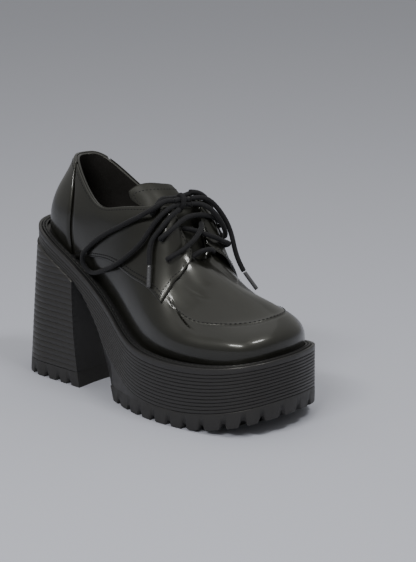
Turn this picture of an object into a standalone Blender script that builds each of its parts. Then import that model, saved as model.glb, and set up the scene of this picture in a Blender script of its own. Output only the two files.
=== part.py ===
"""A heeled oxford shoe for the right foot, built piece by piece as a shoemaker would join it.

Along runs from the back of the sole's rim to the toe, across is positive towards the wearer's left,
which is the inner side of a right shoe, and up starts at the floor. All lengths are in metres. Places
round the shoe are phases in degrees: 0 at the back, 180 at the toe, the outer side first.
"""
import math

import bpy
import bmesh
import numpy as np

# Sole: driving sizes
RIM_LENGTH = 0.253
RIM_WIDTH = 0.1046
BACK_HEIGHT = 0.1227
PLATFORM_HEIGHT = 0.0473
TOE_RISE = 0.0083
TOE_SPRING = 0.013
LEDGE_HEEL = 0.0116
LEDGE_WAIST = 0.0099
LEDGE_TOE = 0.0078
SHANK_DEPTH = 0.0131
SMOOTH_BAND = 0.0050
RIB_PITCH = 0.0027
RIB_DEPTH = 0.0007
RIB_COUNT = 12
LIP_WIDTH = 0.0026
LIP_DEPTH = 0.0016

# Heel block and treads
HEEL_SEAT_LENGTH = 0.0605
HEEL_FLOOR_BACK = 0.008
HEEL_FLOOR_WIDTH = 0.0772
BREAST_FLARE = 0.0085
BREAST_HOLLOW = 0.0040
HEEL_ROUND_END = 0.030
BREAST_RETURN = 0.0029
HEEL_RIB_PITCH = 0.0044
TREAD_HEIGHT = 0.0115
LUG_HEIGHT = 0.0045
LUG_GROOVE = 0.0066
LUG_GROOVE_TOP = 0.0028
LUG_REACH = 0.0150
GROOVE_OVERRUN = 0.0024
CUTTER_OVERRUN = 0.030

# Upper
INSTEP_HEIGHT = 0.100
WALL = 0.0018
QUARTER_THICKNESS = 0.0011
COUNTER_THICKNESS = 0.0019
FLAP_LIFT = 0.0032
TONGUE_THICKNESS = 0.0022
TONGUE_CORNER = 0.05
TONGUE_CORNER_POWER = 8
INSOLE_THICKNESS = 0.0032
WELT_THICKNESS = 0.0024
WELT_WIDTH = 0.0036

# Lace
LACE = 0.0038
AGLET = 0.0030
LACE_POINT_SPACING = 2.5

# Clearances between pieces
GAP = 0.0003
SKIN_GAP = 0.0005
QUARTER_GAP = 0.0008

# Mesh fineness
SIDE_COLUMNS = 25
COLUMN_CROWDING = 6.0

# Rim in plan: phase, outer half width and inner half width as shares of RIM_WIDTH
RIM_PLAN = [
    (12, 0.135, 0.122),
    (25, 0.250, 0.240),
    (45, 0.328, 0.324),
    (65, 0.336, 0.322),
    (80, 0.382, 0.324),
    (95, 0.478, 0.388),
    (110, 0.512, 0.470),
    (125, 0.490, 0.509),
    (140, 0.439, 0.487),
    (150, 0.386, 0.424),
    (158, 0.322, 0.338),
    (168, 0.203, 0.180),
]

# Rim from the side: along as a share of RIM_LENGTH, then the shares of the heel's rise and of TOE_RISE
RIM_SIDE = [
    (0.000, 1.000, 0.00),
    (0.119, 0.853, 0.00),
    (0.257, 0.611, 0.00),
    (0.395, 0.329, 0.00),
    (0.514, 0.097, 0.00),
    (0.632, 0.011, 0.00),
    (0.751, 0.000, 0.00),
    (0.889, 0.000, 0.35),
    (1.000, 0.000, 1.00),
]

# Where the tread stops being flat and starts to lift, as a share of RIM_LENGTH
SPRING_START = 0.711

# Arch behind the platform: along as a share of RIM_LENGTH, height as a share of the shank's underside
ARCH = [
    (0.2391, 1.000),
    (0.2850, 0.878),
    (0.3270, 0.722),
    (0.3640, 0.567),
    (0.3960, 0.373),
    (0.4190, 0.232),
    (0.4380, 0.066),
    (0.4427, 0.000),
]

# Upper, level 1: the widest line of the wall. Shares of RIM_LENGTH, RIM_WIDTH and INSTEP_HEIGHT,
# the last one above the rim at the same phase of the feather line.
MIDWALL = [
    (0, 0.060, 0.000, 0.175),
    (25, 0.087, -0.171, 0.165),
    (45, 0.168, -0.250, 0.160),
    (65, 0.309, -0.278, 0.165),
    (80, 0.435, -0.326, 0.225),
    (95, 0.561, -0.408, 0.245),
    (110, 0.670, -0.459, 0.185),
    (125, 0.775, -0.445, 0.145),
    (140, 0.866, -0.383, 0.130),
    (155, 0.931, -0.306, 0.121),
    (168, 0.966, -0.167, 0.125),
    (180, 0.976, 0.000, 0.128),
    (192, 0.966, 0.167, 0.125),
    (205, 0.932, 0.313, 0.121),
    (220, 0.866, 0.435, 0.130),
    (235, 0.775, 0.455, 0.145),
    (250, 0.670, 0.424, 0.185),
    (265, 0.561, 0.348, 0.245),
    (280, 0.435, 0.280, 0.225),
    (295, 0.309, 0.264, 0.165),
    (315, 0.168, 0.246, 0.160),
    (335, 0.087, 0.163, 0.165),
]

# Upper, level 2: the apron seam at the toe, the shoulder of the wall elsewhere
SHOULDER = [
    (0, 0.087, 0.000, 0.310),
    (25, 0.114, -0.163, 0.312),
    (45, 0.198, -0.254, 0.290),
    (65, 0.336, -0.291, 0.320),
    (80, 0.462, -0.318, 0.440),
    (95, 0.577, -0.354, 0.500),
    (110, 0.660, -0.354, 0.408),
    (125, 0.741, -0.340, 0.300),
    (140, 0.812, -0.288, 0.262),
    (155, 0.868, -0.200, 0.244),
    (168, 0.903, -0.080, 0.240),
    (180, 0.914, 0.040, 0.247),
    (192, 0.909, 0.150, 0.253),
    (205, 0.885, 0.245, 0.260),
    (220, 0.830, 0.320, 0.270),
    (235, 0.752, 0.352, 0.300),
    (250, 0.664, 0.350, 0.408),
    (265, 0.577, 0.325, 0.500),
    (280, 0.462, 0.296, 0.440),
    (295, 0.336, 0.282, 0.320),
    (315, 0.198, 0.250, 0.290),
    (335, 0.114, 0.156, 0.312),
]

# Upper, level 3: the crown over the instep
CROWN = [
    (0, 0.120, 0.000, 0.440),
    (25, 0.150, -0.142, 0.443),
    (45, 0.230, -0.232, 0.405),
    (65, 0.358, -0.280, 0.450),
    (80, 0.480, -0.283, 0.640),
    (95, 0.594, -0.262, 0.755),
    (110, 0.644, -0.236, 0.605),
    (125, 0.692, -0.215, 0.487),
    (140, 0.743, -0.170, 0.415),
    (155, 0.779, -0.106, 0.392),
    (168, 0.795, -0.048, 0.388),
    (180, 0.802, 0.010, 0.388),
    (192, 0.798, 0.070, 0.386),
    (205, 0.783, 0.128, 0.390),
    (220, 0.749, 0.185, 0.415),
    (235, 0.696, 0.224, 0.487),
    (250, 0.646, 0.240, 0.605),
    (265, 0.594, 0.255, 0.755),
    (280, 0.480, 0.272, 0.640),
    (295, 0.358, 0.272, 0.450),
    (315, 0.230, 0.230, 0.405),
    (335, 0.150, 0.138, 0.443),
]

# Upper, level 4: the edge of the mouth, collar and then throat, alike on both sides
MOUTH = [
    (0, 0.150, 0.000, 0.567),
    (12, 0.162, 0.077, 0.573),
    (25, 0.186, 0.134, 0.563),
    (45, 0.255, 0.212, 0.505),
    (57, 0.308, 0.247, 0.509),
    (68, 0.364, 0.260, 0.594),
    (80, 0.455, 0.245, 0.800),
    (90, 0.541, 0.196, 0.952),
    (97, 0.587, 0.143, 0.985),
    (104, 0.601, 0.108, 0.903),
    (113, 0.617, 0.094, 0.826),
    (125, 0.634, 0.081, 0.730),
    (140, 0.644, 0.065, 0.655),
    (158, 0.647, 0.038, 0.600),
    (180, 0.648, 0.000, 0.570),
]

# Heel panel's front seam on the outer side: level and phase, mirrored on the inner side
COUNTER_SEAM = [
    (0.00, 52.5),
    (1.00, 51.0),
    (1.75, 48.6),
    (2.95, 40.4),
    (4.00, 27.0),
]

# Side panel's lower seam: phase and level, from the heel panel to the tab's corner
QUARTER_SEAM = [
    (53.8, 0.00),
    (59.0, 0.55),
    (65.0, 1.02),
    (71.3, 1.40),
    (77.0, 1.56),
    (85.7, 1.66),
    (96.0, 1.78),
    (107.5, 1.76),
]

# Side panel's front edge from the tab's corner up past the notch to the throat: phase, level, flap lift
QUARTER_FRONT = [
    (107.5, 1.76, 0.00),
    (109.0, 2.08, 0.00),
    (110.2, 2.34, 0.05),
    (111.6, 2.62, 0.15),
    (116.6, 3.06, 0.55),
    (121.8, 3.38, 0.95),
    (126.2, 3.68, 0.85),
    (126.5, 4.00, 0.30),
]

# Degrees between the heel panel and the side panel
SEAM_MARGIN = 1.3

# Side panel's columns from the heel panel to the front edge, as shares, close together at the collar's corner
QUARTER_COLUMNS = (0.0, 0.12, 0.24, 0.355, 0.46, 0.55, 0.63, 0.695, 0.745, 0.79, 0.85, 0.92, 1.0)

# Tongue under the side panels: phase and level of its edge, then of its shoulder, extra depth, middle's bulge
TONGUE_SEAT = [
    (151, 3.62, 165, 3.84, 0.0066, 0.0000),
    (141, 3.62, 152, 3.88, 0.0038, 0.0000),
    (129, 3.60, 135, 3.93, 0.0022, 0.0010),
    (117, 3.58, 119, 3.96, 0.0012, 0.0022),
    (106, 3.54, 108, 3.97, 0.0018, 0.0034),
    (98, 3.60, 101, 3.98, 0.0020, 0.0050),
]

# Tongue above the collar, as shares of RIM_LENGTH, RIM_WIDTH and BACK_HEIGHT: edge, shoulder and middle.
# The last share is how far its outer edge leans up and its inner edge down.
TONGUE_TOP = [
    (0.470, 0.214, 1.212, 0.535, 0.122, 1.224, 0.548, 1.232, 0.010),
    (0.450, 0.224, 1.243, 0.505, 0.126, 1.275, 0.520, 1.282, 0.024),
    (0.444, 0.222, 1.268, 0.478, 0.130, 1.318, 0.492, 1.326, 0.037),
]

# Notches in the treads: phase of each groove on the forepart and along share on the heel's side
FOREPART_GROOVES = (87.9, 94.8, 101.4, 108.3, 115.9, 123.6, 132.0, 143.4, 154.6, 165.0, 175.0)
HEEL_GROOVES = (0.22, 0.435, 0.635, 0.82)

# Lace crossings from the outer eyelet to the middle of the throat, in millimetres from the rim's back
LACE_BARS = [
    [(162.1, -31.4, 116.2), (165.6, -24.4, 120.0), (166.6, -16.0, 123.4), (165.4, -8.0, 125.4), (164.8, 0.0, 126.0)],
    [(154.7, -31.2, 129.8), (158.4, -25.0, 135.2), (158.2, -14.5, 140.2), (156.4, -6.0, 141.8), (155.8, 0.0, 142.0)],
    [(142.4, -27.4, 146.2), (142.8, -22.6, 151.9), (141.6, -16.0, 155.0), (140.6, -8.0, 154.2), (140.4, 0.0, 153.8)],
]

# Bow, in millimetres from the rim's back: the knot's middle and half sizes, then each strand's route
KNOT_MIDDLE = (148.5, -4.0, 152.2)
KNOT_HALF = (3.8, 7.0, 4.8)
BOW_LOOP_LATERAL = [
    (149.2, -12.8, 154.2), (149.0, -18.0, 155.0), (147.8, -23.6, 153.6), (145.2, -28.8, 150.4),
    (140.8, -31.8, 147.2), (134.0, -32.6, 143.4), (126.0, -33.6, 139.4), (117.0, -35.0, 134.6),
    (107.0, -35.8, 129.6), (96.0, -35.8, 123.6), (86.0, -35.4, 117.2), (77.4, -34.2, 111.0),
    (71.0, -32.8, 104.6), (70.0, -31.4, 97.6), (75.4, -31.0, 93.0), (84.0, -32.6, 93.2),
    (96.0, -35.3, 97.4), (109.6, -38.1, 103.2), (123.0, -39.2, 111.0), (133.6, -37.8, 119.4),
    (140.8, -35.6, 127.4), (145.6, -32.0, 136.2), (149.8, -27.6, 144.2), (152.4, -21.0, 149.6),
    (152.6, -14.4, 151.4),
]
BOW_LOOP_MEDIAL = [
    (151.8, 3.8, 149.8), (155.6, 9.0, 149.4), (159.8, 14.2, 146.0), (162.8, 19.2, 140.0),
    (164.2, 24.0, 132.0), (162.2, 28.4, 125.8), (157.8, 31.9, 121.6), (152.2, 33.3, 122.4),
    (148.6, 32.7, 128.6), (147.4, 30.6, 137.2), (147.4, 26.8, 146.0), (147.8, 20.8, 152.6),
    (148.0, 13.4, 156.4), (148.0, 6.2, 158.0),
]
LACE_END_LATERAL = [
    (153.8, -11.2, 148.2), (155.0, -17.4, 146.4), (154.6, -24.2, 142.0), (151.8, -30.2, 134.8),
    (148.6, -34.4, 127.2), (148.8, -37.0, 118.8), (150.4, -38.8, 111.6),
]
LACE_END_MEDIAL = [
    (150.4, 4.4, 153.8), (153.2, 10.8, 153.8), (155.2, 16.4, 152.0), (157.2, 21.8, 147.6),
    (159.4, 26.8, 140.8), (161.6, 30.8, 133.0), (164.2, 33.0, 123.6), (166.4, 33.8, 114.2),
    (169.2, 34.9, 105.0), (172.9, 37.0, 96.4),
]
AGLET_LATERAL = [(150.6, -38.9, 110.9), (153.8, -43.1, 96.0)]
AGLET_MEDIAL = [(173.2, 37.2, 95.8), (182.0, 41.4, 83.2)]

MATERIALS = {
    "upper_leather": ((0.012, 0.012, 0.013), 0.20),
    "lining": ((0.035, 0.032, 0.030), 0.75),
    "sole_rubber": ((0.022, 0.022, 0.023), 0.50),
    "tread_rubber": ((0.020, 0.020, 0.021), 0.60),
    "welt": ((0.018, 0.018, 0.018), 0.55),
    "lace": ((0.014, 0.014, 0.015), 0.85),
    "aglet": ((0.030, 0.030, 0.032), 0.25),
}


# Curves

def closed_curve(knots, values):
    """A smooth closed curve through values at the given phases: returns a function of phase."""
    knots = np.append(knots, knots[0] + 360.0)
    values = np.append(values, values[0])
    count = len(knots) - 1
    steps = np.diff(knots)
    slopes = np.diff(values) / steps
    system = np.zeros((count, count))
    right = np.zeros(count)
    for i in range(count):
        before, after = steps[i - 1], steps[i]
        system[i, i - 1] += before
        system[i, i] += 2 * (before + after)
        system[i, (i + 1) % count] += after
        right[i] = 6 * (slopes[i] - slopes[i - 1])
    bend = np.linalg.solve(system, right)
    bend = np.append(bend, bend[0])

    def curve(phase):
        phase = knots[0] + np.mod(np.asarray(phase, float) - knots[0], 360.0)
        i = np.clip(np.searchsorted(knots, phase, side="right") - 1, 0, count - 1)
        ahead, behind = knots[i + 1] - phase, phase - knots[i]
        step = steps[i]
        cubic = (bend[i] * ahead ** 3 + bend[i + 1] * behind ** 3) / (6 * step)
        left = (values[i] / step - bend[i] * step / 6) * ahead
        return cubic + left + (values[i + 1] / step - bend[i + 1] * step / 6) * behind

    return curve


def open_curve(knots, values):
    """A natural smooth curve through values at the knots, straight beyond its ends."""
    knots = np.asarray(knots, float)
    values = np.asarray(values, float)
    count = len(knots)
    steps = np.diff(knots)
    slopes = np.diff(values) / steps
    system = np.eye(count)
    right = np.zeros(count)
    for i in range(1, count - 1):
        system[i, i - 1] = steps[i - 1]
        system[i, i] = 2 * (steps[i - 1] + steps[i])
        system[i, i + 1] = steps[i]
        right[i] = 6 * (slopes[i] - slopes[i - 1])
    bend = np.linalg.solve(system, right)
    first = slopes[0] - steps[0] * bend[1] / 6
    last = slopes[-1] + steps[-1] * bend[-2] / 6

    def curve(at):
        at = np.asarray(at, float)
        inside = np.clip(at, knots[0], knots[-1])
        i = np.clip(np.searchsorted(knots, inside, side="right") - 1, 0, count - 2)
        ahead, behind = knots[i + 1] - inside, inside - knots[i]
        step = steps[i]
        cubic = (bend[i] * ahead ** 3 + bend[i + 1] * behind ** 3) / (6 * step)
        left = (values[i] / step - bend[i] * step / 6) * ahead
        value = cubic + left + (values[i + 1] / step - bend[i + 1] * step / 6) * behind
        return value + np.minimum(at - knots[0], 0) * first + np.maximum(at - knots[-1], 0) * last

    return curve


def column(rows, index):
    return np.array([row[index] for row in rows], float)


# The sole's outline and heights

def rim_across():
    phases = np.concatenate([[0.0], column(RIM_PLAN, 0), [180.0], 360.0 - column(RIM_PLAN, 0)[::-1]])
    outer = -column(RIM_PLAN, 1) * RIM_WIDTH
    inner = column(RIM_PLAN, 2)[::-1] * RIM_WIDTH
    return closed_curve(phases, np.concatenate([[0.0], outer, [0.0], inner]))


across_at = rim_across()
rim_line = open_curve(
    column(RIM_SIDE, 0) * RIM_LENGTH,
    PLATFORM_HEIGHT + column(RIM_SIDE, 1) * (BACK_HEIGHT - PLATFORM_HEIGHT) + column(RIM_SIDE, 2) * TOE_RISE)


def rim_along(phase):
    return RIM_LENGTH * (1 - np.cos(np.radians(phase))) / 2


def inset_outline(phase, inset):
    """The rim's outline moved inwards along its own normal."""
    phase = np.asarray(phase, float)
    small = 0.05
    run = rim_along(phase + small) - rim_along(phase - small)
    rise = across_at(phase + small) - across_at(phase - small)
    length = np.hypot(run, rise)
    return rim_along(phase) - rise / length * inset, across_at(phase) + run / length * inset


def side_phases():
    share = np.arange(SIDE_COLUMNS + 1) / SIDE_COLUMNS
    return 180.0 * share + COLUMN_CROWDING * np.sin(2 * math.pi * share)


def loop_phases():
    half = side_phases()
    return np.concatenate([half, 360.0 - half[-2:0:-1]])


def phase_at(along):
    """Phase on the outer side where the rim passes a given distance along."""
    return math.degrees(math.acos(1 - 2 * along / RIM_LENGTH))


def rim_height(along):
    """The rim's height, straight between the mesh columns so that every piece shares its facets."""
    stops = rim_along(side_phases())
    return np.interp(along, stops, rim_line(stops))


def floor_height(along):
    """The recessed top of the platform, which carries welt, upper and insole."""
    return rim_height(along) - LIP_DEPTH


def spring_height(along):
    start = SPRING_START * RIM_LENGTH
    lift = np.clip((np.asarray(along) - start) / (RIM_LENGTH - start), 0, None)
    return TOE_SPRING * lift ** 2


def blend(value, low, high):
    share = np.clip((value - low) / (high - low), 0, 1)
    return share * share * (3 - 2 * share)


def ledge(phase):
    """How far the upper stands inside the rim: wide at heel and waist, narrow at the toe."""
    turn = 180 - np.abs(180 - np.mod(phase, 360.0))
    heel_to_waist = LEDGE_HEEL + (LEDGE_WAIST - LEDGE_HEEL) * blend(turn, 45, 68)
    return heel_to_waist + (LEDGE_TOE - LEDGE_WAIST) * blend(turn, 90, 150)


# The upper's surface

def loop_table(rows):
    phases = column(rows, 0)
    along = closed_curve(phases, column(rows, 1) * RIM_LENGTH)
    across = closed_curve(phases, column(rows, 2) * RIM_WIDTH)
    height = closed_curve(phases, column(rows, 3) * INSTEP_HEIGHT)
    return along, across, height


def mouth_rows():
    outer = [(phase, along, -across, height) for phase, along, across, height in MOUTH]
    inner = [(360 - phase, along, across, height) for phase, along, across, height in MOUTH[-2:0:-1]]
    return outer + inner


LEVELS = [loop_table(rows) for rows in (MIDWALL, SHOULDER, CROWN, mouth_rows())]


def upper_points(phase, level):
    """Points of the upper's outer surface: level 0 is the feather line, 2 the apron seam, 4 the mouth."""
    phase = np.asarray(phase, float).ravel()
    level = np.asarray(level, float).ravel()
    foot_along, foot_across = inset_outline(phase, ledge(phase))
    base = rim_line(foot_along)
    keys = [np.stack([foot_along, foot_across, base - LIP_DEPTH + GAP], 1)]
    for along, across, height in LEVELS:
        keys.append(np.stack([along(phase), across(phase), base + height(phase)], 1))
    keys = np.stack(keys, 1)
    steps = np.linalg.norm(np.diff(keys, axis=1), axis=2)
    slopes = np.diff(keys, axis=1) / steps[:, :, None]
    system = np.zeros((len(phase), 3, 3))
    for i in range(3):
        system[:, i, i] = 2 * (steps[:, i] + steps[:, i + 1])
        if i < 2:
            system[:, i, i + 1] = steps[:, i + 1]
            system[:, i + 1, i] = steps[:, i + 1]
    bend = np.linalg.solve(system, 6 * np.diff(slopes, axis=1))
    nothing = np.zeros((len(phase), 1, 3))
    bend = np.concatenate([nothing, bend, nothing], 1)
    i = np.clip(np.floor(level).astype(int), 0, 3)
    rows = np.arange(len(phase))
    step = steps[rows, i][:, None]
    behind = (level - i)[:, None] * step
    ahead = step - behind
    cubic = (bend[rows, i] * ahead ** 3 + bend[rows, i + 1] * behind ** 3) / (6 * step)
    left = (keys[rows, i] / step - bend[rows, i] * step / 6) * ahead
    return cubic + left + (keys[rows, i + 1] / step - bend[rows, i + 1] * step / 6) * behind


def upper_normals(phase, level):
    phase = np.asarray(phase, float).ravel()
    level = np.asarray(level, float).ravel()
    up, down = np.minimum(level + 0.02, 4.0), np.maximum(level - 0.02, 0.0)
    round_shoe = upper_points(phase + 0.3, level) - upper_points(phase - 0.3, level)
    up_wall = upper_points(phase, up) - upper_points(phase, down)
    normal = np.cross(round_shoe, up_wall)
    return normal / np.linalg.norm(normal, axis=1)[:, None]


def upper_skin(phase, level, lift):
    """Points at a height above the upper's outer surface, or below it where lift is negative."""
    return upper_points(phase, level) + upper_normals(phase, level) * np.asarray(lift).reshape(-1, 1)


# Meshes

def material(slot):
    found = bpy.data.materials.get(slot)
    if found:
        return found
    colour, roughness = MATERIALS[slot]
    made = bpy.data.materials.new(slot)
    made.use_nodes = True
    shader = made.node_tree.nodes["Principled BSDF"]
    shader.inputs["Base Color"].default_value = (*colour, 1.0)
    shader.inputs["Roughness"].default_value = roughness
    shader.inputs["Metallic"].default_value = 0.0
    return made


def solid(name, points, faces, slot, stand, sharp=40):
    """One closed piece with its faces turned outwards, parented to the shoe's stand."""
    mesh = bpy.data.meshes.new(name)
    mesh.from_pydata([tuple(p) for p in points], [], [tuple(f) for f in faces])
    shape = bmesh.new()
    shape.from_mesh(mesh)
    bmesh.ops.recalc_face_normals(shape, faces=shape.faces[:])
    shape.to_mesh(mesh)
    shape.free()
    mesh.shade_smooth()
    mesh.set_sharp_from_angle(angle=math.radians(sharp))
    mesh.materials.append(material(slot))
    piece = bpy.data.objects.new(name, mesh)
    bpy.context.collection.objects.link(piece)
    piece.parent = stand
    return piece


def loop_faces(rows, columns, offset=0):
    """Quads between closed loops of points that are stored row after row."""
    faces = []
    for row in range(rows - 1):
        for i in range(columns):
            j = (i + 1) % columns
            low, high = offset + row * columns, offset + (row + 1) * columns
            faces.append((low + i, low + j, high + j, high + i))
    return faces


def ladder_faces(columns, offset):
    """Closes a loop straight across, from each outer point to the inner point opposite."""
    half = columns // 2
    faces = []
    for i in range(half):
        corners = [offset + i, offset + i + 1, offset + columns - i - 1, offset + (columns - i) % columns]
        faces.append(tuple(dict.fromkeys(corners)))
    return faces


def stacked_loops(rings):
    """Closed loops in a stack, capped straight across at both ends."""
    columns = len(rings[0])
    faces = loop_faces(len(rings), columns)
    faces += ladder_faces(columns, 0)
    faces += ladder_faces(columns, (len(rings) - 1) * columns)
    return np.concatenate(rings), faces


def hollow_loops(outer, inner):
    """A wall between two stacks of closed loops, open at both ends like a tube."""
    rings = list(outer) + list(inner[::-1])
    columns = len(rings[0])
    faces = loop_faces(len(rings), columns)
    last = (len(rings) - 1) * columns
    faces += [(last + i, last + (i + 1) % columns, (i + 1) % columns, i) for i in range(columns)]
    return np.concatenate(rings), faces


def slab(top, bottom):
    """A plate between two grids of points, rows by columns, closed round its edge."""
    rows, columns = top.shape[:2]
    count = rows * columns
    faces = []
    for r in range(rows - 1):
        for c in range(columns - 1):
            corners = [r * columns + c, r * columns + c + 1, (r + 1) * columns + c + 1, (r + 1) * columns + c]
            faces.append(tuple(corners))
            faces.append(tuple(i + count for i in corners))
    edge = [c for c in range(columns)]
    edge += [r * columns + columns - 1 for r in range(1, rows)]
    edge += [(rows - 1) * columns + c for c in range(columns - 2, -1, -1)]
    edge += [r * columns for r in range(rows - 2, 0, -1)]
    for i, j in zip(edge, edge[1:] + edge[:1]):
        faces.append((i, j, j + count, i + count))
    return np.concatenate([top.reshape(-1, 3), bottom.reshape(-1, 3)]), faces


def cutter(profile, half_width):
    """A closed outline seen from the side, drawn through the shoe from one side to the other."""
    count = len(profile)
    points = [(x, -half_width, z) for x, z in profile] + [(x, half_width, z) for x, z in profile]
    faces = [tuple(range(count)), tuple(range(count, 2 * count))]
    faces += [(i, (i + 1) % count, count + (i + 1) % count, count + i) for i in range(count)]
    return points, faces


def cut(piece, tool):
    tool.hide_render = True
    tool.display_type = "WIRE"
    boolean = piece.modifiers.new("cut " + tool.name, "BOOLEAN")
    boolean.operation = "DIFFERENCE"
    boolean.solver = "EXACT"
    boolean.object = tool


# Sole

def underside():
    """Side view of the sole's underside: along the shank layer and down the arch to the floor."""
    shank = np.linspace(-CUTTER_OVERRUN, HEEL_SEAT_LENGTH * 0.94, 9)
    behind = [(x, float(rim_line(x)) - SHANK_DEPTH) for x in shank]
    arch_top = float(rim_line(HEEL_SEAT_LENGTH)) - SHANK_DEPTH
    arch = open_curve(column(ARCH, 0) * RIM_LENGTH, column(ARCH, 1) * arch_top)
    stops = np.linspace(ARCH[0][0], ARCH[-1][0], 14) * RIM_LENGTH
    return behind + [(x, float(arch(x))) for x in stops]


def below_underside():
    line = underside()
    end = line[-1][0]
    return line + [(end, -CUTTER_OVERRUN), (line[0][0], -CUTTER_OVERRUN)]


def rib_rows():
    """Depths below the rim and insets of the platform's side: smooth band, ribs, smooth foot."""
    rows = [(SMOOTH_BAND - RIB_PITCH / 4, 0.0)]
    for k in range(RIB_COUNT):
        groove = SMOOTH_BAND + k * RIB_PITCH
        rows.append((groove, RIB_DEPTH))
        rows.append((groove + RIB_PITCH / 4, 0.0))
    return rows


def platform_loop(inset, height):
    phases = loop_phases()
    along, across = inset_outline(phases, inset)
    return np.stack([along, across, height(along)], 1)


def platform(stand):
    def side(depth):
        nominal = PLATFORM_HEIGHT - TREAD_HEIGHT
        flat = SPRING_START * RIM_LENGTH

        def height(along):
            room = rim_height(along) - TREAD_HEIGHT - spring_height(along)
            squeeze = np.where(along > flat, room / nominal, 1.0)
            return rim_height(along) - depth * squeeze
        return height

    def bottom(along):
        return TREAD_HEIGHT + GAP + spring_height(along)

    rings = [platform_loop(0.0, bottom)]
    for depth, inset in reversed(rib_rows()):
        rings.append(platform_loop(inset, side(depth)))
    rings.append(platform_loop(0.0, side(LIP_DEPTH / 3)))
    rings.append(platform_loop(LIP_WIDTH / 4, rim_height))
    rings.append(platform_loop(LIP_WIDTH, rim_height))
    rings.append(platform_loop(LIP_WIDTH, floor_height))
    points, faces = stacked_loops(rings)
    body = solid("platform", points, faces, "sole_rubber", stand, sharp=30)
    points, faces = cutter(below_underside(), RIM_WIDTH)
    cut(body, solid("arch_cutter", points, faces, "sole_rubber", stand))


def breast_along(height):
    top = float(rim_line(HEEL_SEAT_LENGTH)) - SHANK_DEPTH
    fall = np.clip(1 - height / top, 0, 1)
    return HEEL_SEAT_LENGTH + BREAST_FLARE * fall ** 2.2


def heel_side(share):
    """The heel's outline at the floor: a squared round at the back, then straight to the breast."""
    turn = np.clip(share / 0.72, 0, 1) * math.pi / 2
    power = 2 / 2.7
    centre = HEEL_ROUND_END
    along = centre - (centre + HEEL_FLOOR_BACK) * np.cos(turn) ** power
    straight = np.clip((share - 0.72) / 0.28, 0, 1)
    along = along + straight * (HEEL_SEAT_LENGTH + BREAST_FLARE - centre)
    return along, HEEL_FLOOR_WIDTH / 2 * np.sin(turn) ** power


def heel_loop(height, inset):
    """One level loop of the heel, between the rim's plan at the top and the flared foot."""
    shares = np.linspace(0, 1, 11)
    phases = shares * phase_at(HEEL_SEAT_LENGTH)
    flare = 1 - height / BACK_HEIGHT
    floor_along, floor_across = heel_side(shares)
    sides = []
    for turn, sign in ((phases, -1), (360 - phases, 1)):
        along, across = inset_outline(turn, 0.0)
        along = along + (floor_along - along) * flare
        across = across + (sign * floor_across - across) * flare
        end = along[-1]
        along = along + (breast_along(height) - end) * shares ** 3
        sides.append(np.stack([along, across], 1))
    outer, inner = sides
    middle = outer[:1] * [1, 0]
    spread = np.linspace(-1, 1, 5)[1:-1]
    front = np.stack([breast_along(height) - BREAST_HOLLOW * (1 - spread ** 2),
                      outer[-1, 1] + (inner[-1, 1] - outer[-1, 1]) * (spread + 1) / 2], 1)
    loop = np.concatenate([middle, outer[1:], front, inner[:0:-1]])
    centre = np.array([HEEL_SEAT_LENGTH / 2, 0.0])
    away = loop - centre
    away /= np.linalg.norm(away, axis=1)[:, None]
    ribbed = np.ones(len(loop))
    ribbed[len(outer):len(outer) + len(front)] = 0.0
    loop = loop - away * inset * ribbed[:, None]
    return np.column_stack([loop, np.full(len(loop), height)])


def heel_block(stand):
    levels = [(TREAD_HEIGHT + GAP, 0.0)]
    height = TREAD_HEIGHT + GAP + HEEL_RIB_PITCH * 0.75
    while height < BACK_HEIGHT - SHANK_DEPTH + HEEL_RIB_PITCH:
        levels.append((height, 0.0))
        levels.append((height + HEEL_RIB_PITCH / 4, RIB_DEPTH))
        height += HEEL_RIB_PITCH
    rings = [heel_loop(height, inset) for height, inset in levels]
    columns = len(rings[0])
    points = np.concatenate(rings)
    faces = loop_faces(len(rings), columns)
    faces.append(tuple(range(columns)))
    faces.append(tuple(range(len(points) - columns, len(points))))
    body = solid("heel_block", points, faces, "sole_rubber", stand, sharp=30)
    line = [(x, z - GAP) for x, z in underside()[:9]]
    end, high = line[-1][0] + CUTTER_OVERRUN, BACK_HEIGHT + CUTTER_OVERRUN
    slope = (line[-1][1] - line[-2][1]) / (line[-1][0] - line[-2][0])
    line.append((end, line[-1][1] + slope * CUTTER_OVERRUN))
    profile = line + [(end, high), (line[0][0], high)]
    points, faces = cutter(profile, RIM_WIDTH)
    cut(body, solid("seat_cutter", points, faces, "sole_rubber", stand))


def groove_prisms(places, height_at):
    """Wedge grooves for a tread: each place is a point on the edge and the direction inwards."""
    points, faces = [], []
    top = LUG_GROOVE_TOP / 2
    bottom = LUG_GROOVE / 2 + (LUG_GROOVE - LUG_GROOVE_TOP) / 2 * GROOVE_OVERRUN / LUG_HEIGHT
    corners = ((-bottom, -GROOVE_OVERRUN), (-top, LUG_HEIGHT), (top, LUG_HEIGHT), (bottom, -GROOVE_OVERRUN))
    for (x, y), (dx, dy) in places:
        base = len(points)
        base_height = float(height_at(x))
        for reach in (-GROOVE_OVERRUN, LUG_REACH):
            for side, rise in corners:
                px = x + dx * reach - dy * side
                py = y + dy * reach + dx * side
                points.append((px, py, base_height + rise))
        faces.append((base, base + 1, base + 2, base + 3))
        faces.append((base + 4, base + 5, base + 6, base + 7))
        for i in range(4):
            j = (i + 1) % 4
            faces.append((base + i, base + j, base + 4 + j, base + 4 + i))
    return points, faces


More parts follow.
